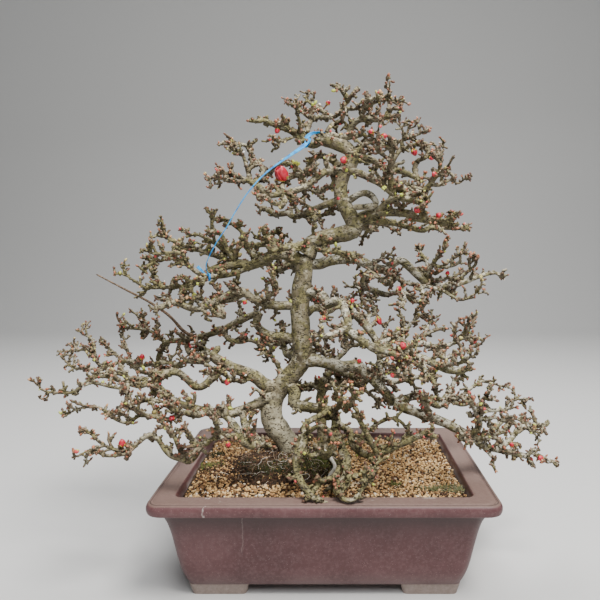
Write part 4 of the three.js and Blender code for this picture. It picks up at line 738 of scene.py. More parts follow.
def barkMaterial():
    # grey-brown bark, a little paler on top and with painted shade beneath, with pale crust, olive lichen
    # where moss is high, and small black dots and dashes; cream at the trunk's foot; young twigs go
    # red-brown, and the dead root is bare white wood
    paint = Paint("quinceBark")
    moss, pale, young = paint.attribute("moss"), paint.attribute("pale"), paint.attribute("young")
    x, y, z = paint.fromPot()
    foot = (1 - (((x + 50) ** 2 + (y - 6) ** 2) ** 0.5).above(26, 42)) * (1 - z.above(160, 210))
    broad, fine, grit = paint.noise(55, 5), paint.noise(230, 5, 0.6), paint.noise(900, 3)
    crust, top = paint.noise(120, 6, 0.65), paint.upward()
    base = paint.ramp(broad, [
        (0.34, (0.090, 0.070, 0.038)), (0.50, (0.225, 0.187, 0.108)), (0.66, (0.39, 0.34, 0.215))])
    white = paint.mix(pale * 1.1, (0.47, 0.425, 0.29), (0.60, 0.565, 0.44))
    share = crust + pale * 0.075 + top.above(-0.2, 0.9) * 0.085 + foot * 0.1
    base = paint.mix(share.above(0.51, 0.67), base, white)
    olive = paint.ramp(fine, [
        (0.35, (0.070, 0.064, 0.022)), (0.55, (0.235, 0.205, 0.075)), (0.7, (0.42, 0.385, 0.170))])
    lichen = (paint.noise(80, 5, 0.6) + moss * 0.13 - foot * 0.1 - pale * 0.02).above(0.50, 0.60)
    base = paint.mix(lichen * 0.85, base, olive)
    russet = paint.ramp(fine, [
        (0.3, (0.065, 0.030, 0.017)), (0.55, (0.215, 0.118, 0.070)), (0.75, (0.38, 0.26, 0.17))])
    base = paint.mix((young - 0.15 * moss).above(0.35, 0.9) * 0.8, base, russet)
    cream = paint.ramp(fine, [(0.35, (0.52, 0.46, 0.30)), (0.65, (0.80, 0.73, 0.52))])
    base = paint.mix(foot * 0.75, base, cream)
    # painted shade: the bark darkens where it faces down
    base = paint.mix((1 - top.above(-0.75, 0.45)) * 0.55, base, (0.045, 0.036, 0.020))
    dots = 1 - paint.cells(340, (0.85, 0.85, 1.5)).above(0.24, 0.40)
    dots = dots * paint.noise(95, 2).above(0.38, 0.48)
    spots = paint.noise(190, 4, 0.65, (0.8, 0.8, 1.9)).above(0.55, 0.62)
    base = paint.mix(spots * 0.8, base, (0.030, 0.023, 0.013))
    base = paint.mix(dots * 0.85, base, (0.022, 0.017, 0.011))
    base = paint.mix(pale.above(1.8, 2.6) * 0.8, base, (0.90, 0.86, 0.74))
    height = broad * 0.5 + crust * 0.9 + fine * 0.55 + grit * 0.2 - dots * 0.5
    return paint.finish(base, 0.72 + 0.2 * fine, height, 1.8)


def makeTree(material):
    shape = gather([makeLimb(number, name, *row) for number, (name, row) in enumerate(limbs.items())])
    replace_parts(addMesh("treeWood", shape, material), "tree_wood")
    print("tree wood", len(shape[1]) * 2 + len(shape[2]), "triangles")


def makeTwigs(material):
    # each kind grows on the limbs and on the larger twigs, so the larger ones come first
    branchlets = growTwigs(limbStations("branchlets", 31, twig["fan"]), "branchlets", 32)
    sprays = growTwigs(limbStations("sprays", 43, only=wood["full"]), "sprays", 44)
    rows = [limbStations("forks", 33)]
    rows += [twigStations(*sprays[1:], 1, seed) for seed in range(45, 50)]
    rows += [twigStations(*branchlets[1:], share, seed) for share, seed in [(1, 34), (0.8, 35), (0.45, 36)]]
    forks = growTwigs(np.concatenate(rows), "forks", 37)
    rows = [limbStations("knobs", 38)]
    rows += [twigStations(*branchlets[1:], 1, seed) for seed in (39, 40)]
    rows += [twigStations(*forks[1:], 0.5, 41)]
    rows += [twigStations(*sprays[1:], 1, seed) for seed in range(50, 53)]
    knobs = growTwigs(np.concatenate(rows), "knobs", 42)
    grown = {"sprays": sprays, "branchlets": branchlets, "forks": forks, "knobs": knobs}
    for name, (shape, lines, _, _) in grown.items():
        addMesh(name, shape, material)
        print(name, len(lines), "with", len(shape[1]) * 2 + len(shape[2]), "triangles")
    return grown


def makeStudio():
    paint = Paint("paleFloor")
    floorMaterial = paint.finish(studio["floorColour"], 0.85 + 0.05 * paint.noise(3))
    # a floor that curves up behind: a flat sheet, then a quarter circle, then a wall
    back, bend, wide = studio["back"], studio["bend"], studio["halfWide"]
    turn = np.linspace(0, np.pi / 2, 16)
    curve = np.stack([back + bend * np.sin(turn), bend - bend * np.cos(turn)], 1)
    line = np.concatenate([[[studio["front"], 0]], curve, [[back + bend, studio["high"]]]])
    grid = np.stack([np.insert(line, 0, across, axis=1) for across in (-wide, wide)], 1)
    number = np.arange(grid.size // 3).reshape(len(line), 2)
    quads = np.stack([number[:-1, 0], number[:-1, 1], number[1:, 1], number[1:, 0]], -1)
    mesh = bpy.data.meshes.new("floorSheet")
    mesh.from_pydata(grid.reshape(-1, 3).tolist(), [], quads.tolist())
    mesh.polygons.foreach_set("use_smooth", np.ones(len(quads), bool))
    mesh.materials.append(floorMaterial)
    floor = bpy.data.objects.new("floorSheet", mesh)
    bpy.context.collection.objects.link(floor)
    world = bpy.data.worlds.new("softSky")
    world.use_nodes = True
    sky = world.node_tree.nodes["Background"].inputs
    sky["Color"].default_value = (*studio["worldColour"], 1)
    sky["Strength"].default_value = studio["worldPower"]
    bpy.context.scene.world = world
    for number, (spot, size, power, colour) in enumerate(studio["lights"]):
        lamp = bpy.data.lights.new(f"softBox{number}", "AREA")
        lamp.shape, lamp.size, lamp.energy, lamp.color = "DISK", size, power, colour
        light = bpy.data.objects.new(f"softBox{number}", lamp)
        bpy.context.collection.objects.link(light)
        light.location = spot
        way = Vector(studio["aim"]) - Vector(spot)
        light.rotation_euler = way.to_track_quat("-Z", "Y").to_euler()


pot = {
    "wide": 367, "deep": 274, "underside": 13, "floor": 22,
    # profile from the foot up over the lip and down inside: how far in from the lip, height, corner radius
    "profile": [
        (36, 13, 11), (33.5, 16, 13), (29.3, 27, 14), (25.9, 42, 14), (20.6, 72, 14), (17, 87, 14),
        (13, 97, 14), (11, 99.6, 14), (8.5, 101.2, 14), (5, 102, 14.5), (2.4, 102.6, 15), (1, 103.6, 15),
        (0.4, 105.5, 15), (0, 108, 15), (0.1, 110.6, 15), (0.8, 112.6, 15), (1.5, 113.7, 15),
        (2.4, 114.4, 15), (3.6, 114.8, 14.5), (4.9, 114.8, 14), (5.6, 114.4, 14), (6.1, 114.1, 14),
        (6.6, 114.4, 14), (7.4, 114.9, 14), (10, 115, 13), (16, 115.05, 12), (22.8, 115, 10.5),
        (24.8, 114.7, 9.5), (25.7, 114, 9), (26.3, 112.6, 9), (29.1, 100, 9), (35.4, 70, 9), (45.5, 22, 9),
    ],
    "hand": 0.28,  # how far the clay's faces wander from flat, mm
    # the rim's corner radius, and how far inside its edge the fine groove runs
    "corner": 15, "grooveAt": 4.6,
    # x, y and radius of each hole through the floor
    "drainHoles": [(-82, 0, 11), (82, 0, 11)],
    "wireHoles": [(x, y, 2.5) for x in (-36, 36) for y in (-40, 40)],
    # a foot: width, depth, height; its middle; its profile: narrowing, height, corner radius
    "foot": (66, 46, 15), "footAt": (114.5, 78),
    "footProfile": [(7, 0, 5), (6.2, 0.5, 5.5), (6, 1.4, 6), (4.6, 4, 6), (2.8, 8, 6), (1.2, 11.4, 6)],
}


def roundedLoop(wide, deep, corner, z, straight=(26, 20), bend=8):
    # a rectangle with quarter circles at its corners, anticlockwise from above: arrays in, one row of
    # points a loop out, every loop with the same number of points
    wide, deep, corner, z = [np.asarray(v, float)[:, None] for v in (wide, deep, corner, z)]
    x, y = wide / 2 - corner, deep / 2 - corner
    turn = np.linspace(0, np.pi / 2, bend + 1)[None]
    rows = []
    for side, (sx, sy) in enumerate([(1, 1), (-1, 1), (-1, -1), (1, -1)]):
        angle = turn + side * np.pi / 2
        arc = [sx * x + corner * np.cos(angle), sy * y + corner * np.sin(angle), z + 0 * angle]
        rows.append(np.stack(arc, -1))
        nextX, nextY = [(-x, y + corner), (-x - corner, -y), (x, -y - corner), (x + corner, y)][side]
        share = np.linspace(0, 1, straight[side % 2] + 1)[None, 1:-1, None]
        last = rows[-1][:, -1:]
        goal = np.stack([nextX, nextY, z], -1)
        rows.append(last + (goal - last) * share)
    return np.concatenate(rows, axis=1)


def closedSkin(loops):
    # faces over a stack of loops, with a fan to the middle at each end
    rings, around, _ = loops.shape
    number = np.arange(rings * around).reshape(rings, around)
    beside = np.roll(number, -1, axis=1)
    quads = np.stack([number[:-1], beside[:-1], beside[1:], number[1:]], -1).reshape(-1, 4)
    low, high = rings * around, rings * around + 1
    caps = [np.stack([np.full(around, low), beside[0], number[0]], -1),
            np.stack([np.full(around, high), number[-1], beside[-1]], -1)]
    points = np.concatenate([loops.reshape(-1, 3), loops[[0, -1]].mean(1)])
    return points, quads, np.concatenate(caps), {}


def drillHoles(piece, holes, low, high):
    # cuts upright round holes right through, one modifier for all, applied
    turn = np.linspace(0, 2 * np.pi, 32, endpoint=False)
    parts = []
    for x, y, radius in holes:
        ring = np.stack([x + radius * np.cos(turn), y + radius * np.sin(turn)], -1)
        loops = np.stack([np.column_stack([ring, np.full(32, z)]) for z in (low, high)])
        parts.append(closedSkin(loops))
    cutter = addMesh("cutter", gather(parts), piece.data.materials[0])
    change = piece.modifiers.new("holes", "BOOLEAN")
    change.object, change.operation, change.solver = cutter, "DIFFERENCE", "EXACT"
    bpy.context.view_layer.update()
    cut = bpy.data.meshes.new_from_object(piece.evaluated_get(bpy.context.evaluated_depsgraph_get()))
    piece.modifiers.clear()
    piece.data = cut
    bpy.data.objects.remove(cutter)


def clayMaterial():
    # unglazed purple-brown clay: broad clouds, fine pale and dark specks, a painted shadow in a band under
    # the lip, dust on faces that look up, a fine groove inside the rim's outer edge with painted shade in it,
    # scrapes on the lip, one long scratch down the front, pale crust on the inner walls, and lighter feet
    paint = Paint("unglazedClay")
    x, y, z = paint.fromPot()
    wide, deep = abs(x), abs(y)
    clouds, fine, grit = paint.noise(14, 5, 0.6), paint.noise(260, 4, 0.6), paint.noise(1500, 2)
    base = paint.ramp(clouds, [
        (0.32, (0.070, 0.025, 0.027)), (0.5, (0.095, 0.034, 0.036)), (0.68, (0.128, 0.052, 0.054))])
    base = paint.mix(fine.above(0.42, 0.68) * 0.35, base, (0.185, 0.105, 0.103))
    specks = 1 - paint.cells(560).above(0.08, 0.20)
    base = paint.mix(specks * paint.noise(330, 2).above(0.46, 0.56) * 0.6, base, (0.42, 0.33, 0.31))
    base = paint.mix((1 - paint.cells(380).above(0.08, 0.16)) * 0.5, base, (0.030, 0.017, 0.017))
    streaks = paint.noise(30, 4, 0.6, (6, 6, 0.35)).above(0.60, 0.76)
    base = paint.mix(streaks * 0.05, base, (0.40, 0.33, 0.31))
    # painted shadow: a dark band on the walls just under the lip
    base = paint.mix(z.above(66, 101) * (1 - z.above(101, 102)) * 0.85, base, (0.040, 0.020, 0.020))
    top = paint.upward().above(0.55, 0.95) * z.above(80, 100)
    dust = top * (0.40 + 0.45 * fine)
    base = paint.mix(dust, base, (0.232, 0.164, 0.131))
    # how far inside the rim's rounded outline: the longer of the two gaps, rounded at the corners
    corner = pot["corner"]
    beyondX, beyondY = wide - (pot["wide"] / 2 - corner), deep - (pot["deep"] / 2 - corner)
    inside = corner - (beyondX.atLeast(0) ** 2 + beyondY.atLeast(0) ** 2) ** 0.5
    # painted shade: the groove is darkened as well as sunk by the bump
    groove = (1 - abs(inside - pot["grooveAt"]).above(0.25, 0.75)) * top
    base = paint.mix(groove * 0.85, base, (0.055, 0.035, 0.032))
    front = 1 - y.above(-112, -106)
    marks = paint.noise(150, 3, 0.5, (1, 1, 0.22)).above(0.60, 0.68) * (1 - abs(x + 119).above(8, 14))
    scrape = paint.noise(60, 3, 0.5, (0.4, 1, 6)).above(0.68, 0.73) * 0.4 + marks * front * 0.75
    base = paint.mix(scrape * z.above(101, 104), base, (0.56, 0.50, 0.46))
    line = x + 87.8 - z * 0.028 + (paint.noise(70, 3) - 0.5) * 7
    scratch = (1 - abs(line).above(0.2, 0.9)) * front * z.above(48, 60) * (1 - z.above(97, 101))
    base = paint.mix(scratch * fine * 0.38, base, (0.38, 0.32, 0.30))
    within = (1 - wide.above(155.5, 157.0)) * (1 - deep.above(109.0, 110.5)) * z.above(90, 94)
    crust = within * (0.2 + 0.8 * paint.noise(45, 5, 0.6).above(0.42, 0.62))
    base = paint.mix(crust * 0.75, base, (0.40, 0.35, 0.33))
    damp = (1 - z.above(14, 34)) * 0.30 * clouds.above(0.3, 0.6)
    base = paint.mix(damp, base, (0.19, 0.15, 0.14))
    foot = 1 - z.above(12.2, 13.4)
    paler = paint.ramp(fine, [(0.3, (0.255, 0.200, 0.170)), (0.7, (0.35, 0.285, 0.25))])
    base = paint.mix(foot * 0.9, base, paler)
    rough = 0.42 + 0.16 * fine + 0.2 * dust + 0.2 * foot
    height = fine * 0.35 + grit * 0.35 + clouds * 0.3 + specks * 0.15 - groove * 0.8 - scratch * 0.3
    return paint.finish(base, rough, height, 0.5, 0.8)


def makePot(material):
    # the profile carried round a rounded rectangle: cubic between its points on the two long walls,
    # straight elsewhere; then a soft noise pushes the faces in and out
    profile = np.array(pot["profile"])
    wall, _ = walk(profile[:7], 4)
    inside, _ = walk(profile[-4:], 6)
    profile = np.concatenate([wall, profile[7:-4], inside])
    tuck, high, corner = profile.T
    points, *faces = closedSkin(roundedLoop(pot["wide"] - 2 * tuck, pot["deep"] - 2 * tuck, corner, high))
    hand = pot["hand"] * ripple(points, 38, 5)[:, None] * unit(points * [1, 1, 0.4] - [0, 0, 20])
    # the flat underside and floor stay flat
    low, floor = pot["underside"], pot["floor"]
    free = (np.abs(points[:, 2:] - low) > 0.5) & (np.abs(points[:, 2:] - floor) > 0.5)
    piece = addMesh("potBody", (points + hand * free * [1, 1, 0.5], *faces), material)
    drillHoles(piece, pot["drainHoles"] + pot["wireHoles"], low - 5, floor + 8)
    wide, deep, top = pot["foot"]
    tuck, high, corner = np.array(pot["footProfile"] + [(0, top, 6)]).T
    loops = roundedLoop(wide - tuck, deep - tuck, corner, high, (14, 10), 5)
    x, y = pot["footAt"]
    feet = gather([closedSkin(loops + [sx * x, sy * y, 0]) for sx in (-1, 1) for sy in (-1, 1)])
    joinMesh(piece, addMesh("potFeet", feet, material))
    edgeSmooth(piece, 32)
    feetNodes = [f"pot_foot_{end}_{side}" for end in ("front", "back") for side in ("left", "right")]
    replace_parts(piece, "pot", *feetNodes)
    print("pot", len(piece.data.polygons), "faces")


def dress(name, material):  # a CAD node keeps its mesh and takes this material
    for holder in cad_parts[name].material_slots:
        holder.link = "OBJECT"
        holder.material = material


def screenMaterial():
    # black plastic mesh: strands 1.6 mm apart both ways, raised and a little shiny, grey dust between
    paint = Paint("drainScreen")
    rows = [paint.axis(paint.where, name) * (2 * np.pi / (1.6 * mm)) for name in "XY"]
    waves = [row.sum("SINE", row, 0) * 0.5 + 0.5 for row in rows]
    strand = waves[0].atLeast(waves[1])
    dust = paint.noise(300, 3)
    colour = paint.mix(strand.above(0.5, 0.8), (0.12, 0.10, 0.085), (0.018, 0.018, 0.017))
    colour = paint.mix(dust.above(0.5, 0.8) * 0.4, colour, (0.20, 0.16, 0.13))
    return paint.finish(colour, 0.8 - 0.35 * strand, strand, 0.5)


def joinMesh(piece, other):  # puts the other piece's faces into the first and removes the other
    both = bmesh.new()
    both.from_mesh(piece.data)
    both.from_mesh(other.data)
    both.to_mesh(piece.data)
    both.free()
    bpy.data.objects.remove(other)


def edgeSmooth(piece, angle):  # smooth faces, with sharp edges above the angle
    mesh = piece.data
    mesh.polygons.foreach_set("use_smooth", np.ones(len(mesh.polygons), bool))
    mesh.set_sharp_from_angle(angle=math.radians(angle))


soil = {
    "flat": 104.5, "mound": 19.5, "moundAt": (-42, 8), "moundWide": 52,
    # grains: how far they lie from the middle, how many, radius from and to, share of pale and dark ones
    "halfWide": 154.0, "halfDeep": 107.5, "grains": 8600, "grainSize": (0.85, 2.15),
    "paleShare": 0.05, "darkShare": 0.14,
    # the old root ball: its middle and half widths, its crumbs and its fine roots
    "ballAt": (-43, -21), "ballWide": (72, 53), "crumbs": 3000, "roots": 150,
    # radius of a crumb and of a fine root at its foot, share of bleached roots, length of a moss stalk
    "crumbSize": (0.5, 1.35), "rootSize": (0.16, 0.42), "bleached": 0.42, "stalkLong": (1.4, 3.3),
    # moss patches: x, y, width, depth, stalks, darkest and palest shade
    "moss": [
        (-52, -38, 30, 15, 700, 0.0, 0.5), (-24, -26, 26, 22, 760, 0.05, 0.62),
        (-3, -22, 15, 18, 600, 0.3, 0.75), (-140, -8, 11, 10, 230, 0.35, 0.75),
        (-140, 34, 10, 12, 150, 0.0, 0.3), (124, -72, 17, 7, 200, 0.70, 1.0),
        (146, -72, 13, 10, 260, 0.68, 1.0), (80, -60, 7, 5, 60, 0.3, 0.8), (-60, 26, 22, 16, 260, 0.0, 0.4),
        (24, 70, 20, 8, 180, 0.4, 0.8), (-95, -20, 14, 14, 120, 0.0, 0.3)],
    # dark crumbs beyond the root ball: x, y, width, depth, how many; the narrow patch along the left wall is
    # painted shade
    "darkAt": [
        (140, -84, 18, 14, 300), (-137, -6, 15, 30, 420), (60, -50, 26, 22, 60), (-90, -60, 30, 18, 90),
        (-106, -12, 32, 34, 560)],
    # roots that show: radius from and to, shade, line
    "thickRoots": [
        (1.9, 0.9, 0.95, [(-84, -6, 116), (-76, -11, 115), (-66, -16, 113), (-60, -22, 111)]),
        (1.2, 0.5, 0.95, [(-66, -16, 114), (-58, -14, 117), (-50, -20, 116), (-46, -28, 111)]),
        (1.0, 0.4, 0.85, [(-40, -22, 117), (-34, -30, 114), (-36, -40, 109), (-30, -48, 107)]),
        (1.3, 0.5, 0.75, [(-26, -18, 116), (-16, -26, 112), (-12, -36, 108), (-14, -44, 106)]),
        (1.0, 0.45, 0.9, [(10, 4, 114), (18, -2, 111), (22, -12, 108), (20, -20, 107)]),
        (0.7, 0.3, 0.95, [(26, -8, 108), (33, -13, 110), (38, -20, 107)]),
        (0.9, 0.4, 0.6, [(-92, -24, 109), (-82, -20, 112), (-76, -28, 109), (-64, -32, 108)])],
}


def soilHeight(x, y):  # a bell round the trunk on level ground
    across = ((x - soil["moundAt"][0]) ** 2 + (y - soil["moundAt"][1]) ** 2) / soil["moundWide"] ** 2
    return soil["flat"] + soil["mound"] * np.exp(-0.5 * across)


def pebbles(centres, sizes, squash, seed, shades):
    # an icosahedron at each centre: its corners pushed in or out at random, flattened and turned
    draw = np.random.default_rng(seed)
    gold = (1 + 5**0.5) / 2
    corner = unit(np.array([
        (-1, gold, 0), (1, gold, 0), (-1, -gold, 0), (1, -gold, 0), (0, -1, gold), (0, 1, gold),
        (0, -1, -gold), (0, 1, -gold), (gold, 0, -1), (gold, 0, 1), (-gold, 0, -1), (-gold, 0, 1)]))
    faces = np.array([
        (0, 11, 5), (0, 5, 1), (0, 1, 7), (0, 7, 10), (0, 10, 11), (1, 5, 9), (5, 11, 4), (11, 10, 2),
        (10, 7, 6), (7, 1, 8), (3, 9, 4), (3, 4, 2), (3, 2, 6), (3, 6, 8), (3, 8, 9), (4, 9, 5),
        (2, 4, 11), (6, 2, 10), (8, 6, 7), (9, 8, 1)])
    n = len(centres)
    shape = corner * (1 + draw.uniform(-0.22, 0.22, (n, 12, 1))) * draw.uniform(0.78, 1.2, (n, 1, 3)) * squash
    yaw, tilt = draw.uniform(0, 2 * np.pi, (2, n, 1))
    tilt = tilt * 0.12
    x, y, z = shape[..., 0], shape[..., 1], shape[..., 2]
    y, z = y * np.cos(tilt) - z * np.sin(tilt), y * np.sin(tilt) + z * np.cos(tilt)
    x, y = x * np.cos(yaw) - y * np.sin(yaw), x * np.sin(yaw) + y * np.cos(yaw)
    points = centres[:, None] + np.stack([x, y, z], -1) * np.asarray(sizes)[:, None, None]
    triangles = (faces[None] + 12 * np.arange(n)[:, None, None]).reshape(-1, 3)
    spread = {key: np.repeat(value, 12) for key, value in shades.items()}
    return points.reshape(-1, 3), np.zeros((0, 4), int), triangles, spread


def grainMaterial():
    # baked clay grains: each grain takes its colour from its tint, from near black through red-brown
    # and ochre to golden tan and grey-white; paler grit inside each
    paint = Paint("bakedGrains")
    tint = paint.attribute("tint")
    fine = paint.noise(700, 3)
    colour = paint.ramp(tint, [
        (0.0, (0.022, 0.013, 0.008)), (0.10, (0.12, 0.055, 0.024)), (0.30, (0.30, 0.15, 0.055)),
        (0.55, (0.59, 0.355, 0.14)), (0.78, (0.79, 0.55, 0.26)), (0.90, (0.68, 0.56, 0.42)),
        (1.0, (0.84, 0.78, 0.66))])
    colour = paint.mix(fine.above(0.40, 0.75) * tint.above(0.1, 0.3) * 0.35, colour, (0.68, 0.50, 0.27))
    return paint.finish(colour, 0.86 + 0.1 * fine, fine, 0.3, 0.8)


def earthMaterial():
    # what shows between the grains: dark earth, painted near black as the shade in the gaps between them
    paint = Paint("darkEarthAndGapShade")
    fine = paint.noise(420, 4)
    colour = paint.ramp(fine, [
        (0.3, (0.014, 0.009, 0.005)), (0.55, (0.050, 0.028, 0.013)), (0.75, (0.13, 0.075, 0.032))])
    return paint.finish(colour, 0.92 + 0.06 * fine, fine + paint.cells(300), 1.2)


def ballShare(x, y):  # 1 in the dark root ball round the trunk, 0 on the open grains, with a ragged edge
    (ballX, ballY), (wide, deep) = soil["ballAt"], soil["ballWide"]
    reach = ((x - ballX) / wide) ** 2 + ((y - ballY) / deep) ** 2
    flat = np.stack([x, y, 0 * x], -1)
    ragged = 0.22 * ripple(flat, 9, 17) + 0.12 * ripple(flat, 3, 18)
    return np.clip((1.1 - reach + ragged) / 0.35, 0, 1)


def evenSpread(count, wide, deep, shake, draw):  # a grid of cells with one point shaken about in each
    columns = int((count * wide / deep) ** 0.5)
    x = ((np.arange(columns) + 0.5) / columns * 2 - 1) * wide
    y = ((np.arange(count // columns) + 0.5) / (count // columns) * 2 - 1) * deep
    x, y = [v.ravel() for v in np.meshgrid(x, y)]
    x, y = x + draw.uniform(-shake, shake, len(x)), y + draw.uniform(-shake, shake, len(x))
    keep = (np.abs(x) < wide - 1) & (np.abs(y) < deep - 1)
    return x[keep], y[keep]


def makeSoil():
    # grains a little above the soil's height, one shaken about in each cell of a grid, smaller in the
    # root ball, where most are dark; at the foot of the pot's walls many are dark too, as painted shade, most
    # of all by the left wall
    dress("soil", earthMaterial())
    draw = np.random.default_rng(90)
    x, y = evenSpread(soil["grains"], soil["halfWide"], soil["halfDeep"], 1.9, draw)
    n = len(x)
    ball = ballShare(x, y)
    size = soil["grainSize"][0] + (soil["grainSize"][1] - soil["grainSize"][0]) * draw.uniform(0, 1, n) ** 1.5
    size = size * (1 - 0.45 * (draw.uniform(0, 1, n) < ball))
    z = soilHeight(x, y) + 1.3 + size * draw.uniform(-0.35, 0.6, n)
    tint = np.clip(draw.normal(0.50, 0.20, n) + 0.05 * x / 150, 0.10, 0.84)
    odd = draw.uniform(0, 1, n)
    tint = np.where(odd < soil["paleShare"], draw.uniform(0.86, 0.97, n), tint)
    tint = np.where(odd > 1 - soil["darkShare"], draw.uniform(0.03, 0.22, n), tint)
    # dark grains in the root ball are its peat; near the walls, most by the left one, they are painted shade
    wall = np.maximum(np.abs(x) / soil["halfWide"], 1.02 * np.abs(y) / soil["halfDeep"])
    dark = np.maximum(ball * 0.97, np.clip((wall - 0.955) / 0.05, 0, 1) * np.where(x < -100, 0.75, 0.3))
    tint = np.where(draw.uniform(0, 1, n) < dark, draw.uniform(0.0, 0.09, n), tint)
    shape = pebbles(np.stack([x, y, z], 1), size, (1, 1, 0.8), 91, {"tint": tint})
    addMesh("soilGrains", shape, grainMaterial(), smooth=False)
    print("soil grains", n)


def makePeat(material):
    # crumbs of old dark peat over the root ball, heaped towards the trunk, and a few patches more, one of
    # them painted shade along the left wall
    draw = np.random.default_rng(95)
    spots = draw.normal(size=(soil["crumbs"], 2)) * 0.5 * np.array(soil["ballWide"]) + soil["ballAt"]
    spots = spots[ballShare(*spots.T) > draw.uniform(0, 0.9, len(spots))]
    for x, y, wide, deep, count in soil["darkAt"]:
        spots = np.concatenate([spots, draw.normal(size=(count, 2)) * 0.5 * [wide, deep] + [x, y]])
    spots = spots[(np.abs(spots) < [soil["halfWide"] - 1, soil["halfDeep"] - 1]).all(1)]
    x, y = spots.T
    n = len(x)
    heap = 0.5 + 0.5 * ripple(np.stack([x, y, 0 * x], -1), 5, 19)
    z = soilHeight(x, y) + 1.6 + 1.8 * heap * draw.uniform(0.3, 1, n)
    tint = np.where(draw.uniform(0, 1, n) < 0.10, draw.uniform(0.2, 0.6, n), draw.uniform(0.0, 0.08, n))
    size = draw.uniform(*soil["crumbSize"], n)
    shape = pebbles(np.stack([x, y, z], 1), size, (1, 1, 0.9), 96, {"tint": tint})
    addMesh("peatCrumbs", shape, material, smooth=False)


def makeFallenPetal(material):
    # one petal on the soil: a spoon, twice as long as wide, its edges curled up
    rise, side = np.meshgrid(np.linspace(0, 1, 8), np.linspace(-1, 1, 6), indexing="ij")
    wide = 2.6 * np.sin(np.pi * (rise * 0.85 + 0.1)) ** 0.7
    high = 108.2 + 1.5 * (rise - 0.4) ** 2 + 1.1 * side**2
    grid = np.stack([-81 + 6.5 * rise + 0.4 * side, -51 + wide * side, high], -1)
    traits = {"part": np.zeros(2 * rise.size), "rise": np.tile(rise.ravel(), 2)}
    addMesh("fallenPetal", (*slab(grid, 0.25), traits), material)


def mossMaterial():
    # each stalk takes its shade from its tint: black-green, leaf green or grey-green, paler at the tip
    paint = Paint("mossStalks")
    tint, rise = paint.attribute("tint"), paint.attribute("rise")
    colour = paint.ramp(tint, [
        (0.0, (0.014, 0.016, 0.006)), (0.35, (0.050, 0.060, 0.012)), (0.6, (0.16, 0.19, 0.026)),
        (0.8, (0.17, 0.18, 0.070)), (1.0, (0.27, 0.26, 0.16))])
    colour = paint.mix(rise, paint.mix(0.6, colour, (0.02, 0.02, 0.008)), colour)
    return paint.finish(colour, 0.7 + 0.15 * paint.noise(500, 2))


def makeMoss():
    # upright stalks a few mm long, standing on the soil in patches that thin out from their middles;
    # a stalk is a three-sided tapering tube that leans and bends its own way
    draw = np.random.default_rng(120)
    rows = []
    for x, y, wide, deep, count, low, high in soil["moss"]:
        spread = draw.normal(size=(count, 2)) * 0.6
        rows.append(np.column_stack([[x, y] + spread * [wide, deep], draw.uniform(low, high, count)]))
    rows = np.concatenate(rows)
    rows = rows[(np.abs(rows[:, 0]) < soil["halfWide"]) & (np.abs(rows[:, 1]) < soil["halfDeep"])]
    n = len(rows)
    foot = np.column_stack([rows[:, 0], rows[:, 1], soilHeight(rows[:, 0], rows[:, 1]) + 2.2])
    lean = unit(draw.normal(size=(n, 3)) * 0.55 + [0, 0, 1])
    bend = draw.normal(size=(n, 3)) * 0.35
    share = np.array([0.0, 0.5, 1.0])
    long = draw.uniform(*soil["stalkLong"], (n, 1))
    stalk = lean[:, None] * share[:, None] + bend[:, None] * share[:, None] ** 2
    path = foot[:, None] + stalk * long[:, :, None]
    radius = np.array([0.42, 0.5, 0.12]) * draw.uniform(0.7, 1.2, (n, 1))
    traits = {"tint": perPoint(np.tile(rows[:, 2:], 3), 3), "rise": perPoint(np.tile(share, (n, 1)), 3)}
    addMesh("mossTufts", (*bundle(path, radius, 3), traits), mossMaterial())
    print("moss stalks", n)


def rootMaterial():
    # dark brown, tan or bleached by each root's tint, with brown grain
    paint = Paint("fineRoots")
    tint = paint.attribute("tint")
    fine = paint.noise(400, 3)
    colour = paint.ramp(tint, [
        (0.0, (0.10, 0.055, 0.030)), (0.5, (0.34, 0.24, 0.16)), (0.8, (0.62, 0.54, 0.44)),
        (1.0, (0.80, 0.77, 0.68))])
    return paint.finish(paint.mix(fine * 0.3, colour, (0.20, 0.14, 0.09)), 0.7 + 0.2 * fine, fine, 0.2, 0.6)


def makeFineRoots():
    # thin roots that wander over the root ball: each step turns at random, and each point lies on the
    # soil's height plus half a wave; then the few thick ones that show
    draw = np.random.default_rng(130)
    n, rings = soil["roots"], 14
    start = draw.normal(size=(n, 2)) * 0.42 * np.array(soil["ballWide"]) + soil["ballAt"]
    heading = draw.uniform(0, 2 * np.pi, (n, 1)) + np.cumsum(draw.normal(size=(n, rings)) * 0.6, axis=1)
    step = draw.uniform(0.8, 2.3, (n, 1))
    steps = np.stack([np.cos(heading), np.sin(heading)], -1) * step[..., None]
    flat = start[:, None] + np.cumsum(steps, axis=1)
    rise = np.sin(np.linspace(0, np.pi, rings))[None] * draw.uniform(0.2, 4.5, (n, 1))
    path = np.dstack([flat, soilHeight(flat[..., 0], flat[..., 1]) + 1.8 + rise])
    radius = draw.uniform(*soil["rootSize"], (n, 1)) * np.linspace(1.1, 0.5, rings)
    pale = draw.uniform(0, 1, (n, 1)) < soil["bleached"]
    tint = np.where(pale, draw.uniform(0.7, 1.0, (n, 1)), draw.uniform(0.0, 0.55, (n, 1)))
    keep = (ballShare(*start.T) > 0.1) & (np.abs(flat) < [150, 100]).all((1, 2))
    tubes = bundle(path[keep], radius[keep], 5)
    parts = [(*tubes, {"tint": perPoint(np.repeat(tint[keep], rings, 1), 5)})]
    for first, last, shade, line in soil["thickRoots"]:
        line, run = walk(line, 1.8)
        line = line + 0.5 * np.column_stack([ripple(line, 3, k) for k in (1, 2, 3)])
        wide = (first + (last - first) * run / run[-1]) * (1 + 0.18 * ripple(line, 2.5, 5))
        tube = bundle(line[None], wide[None], 8)
        parts.append((*tube, {"tint": np.full(len(tube[0]), shade)}))
    addMesh("fineRoots", gather(parts), rootMaterial())
    print("fine roots", int(keep.sum()))


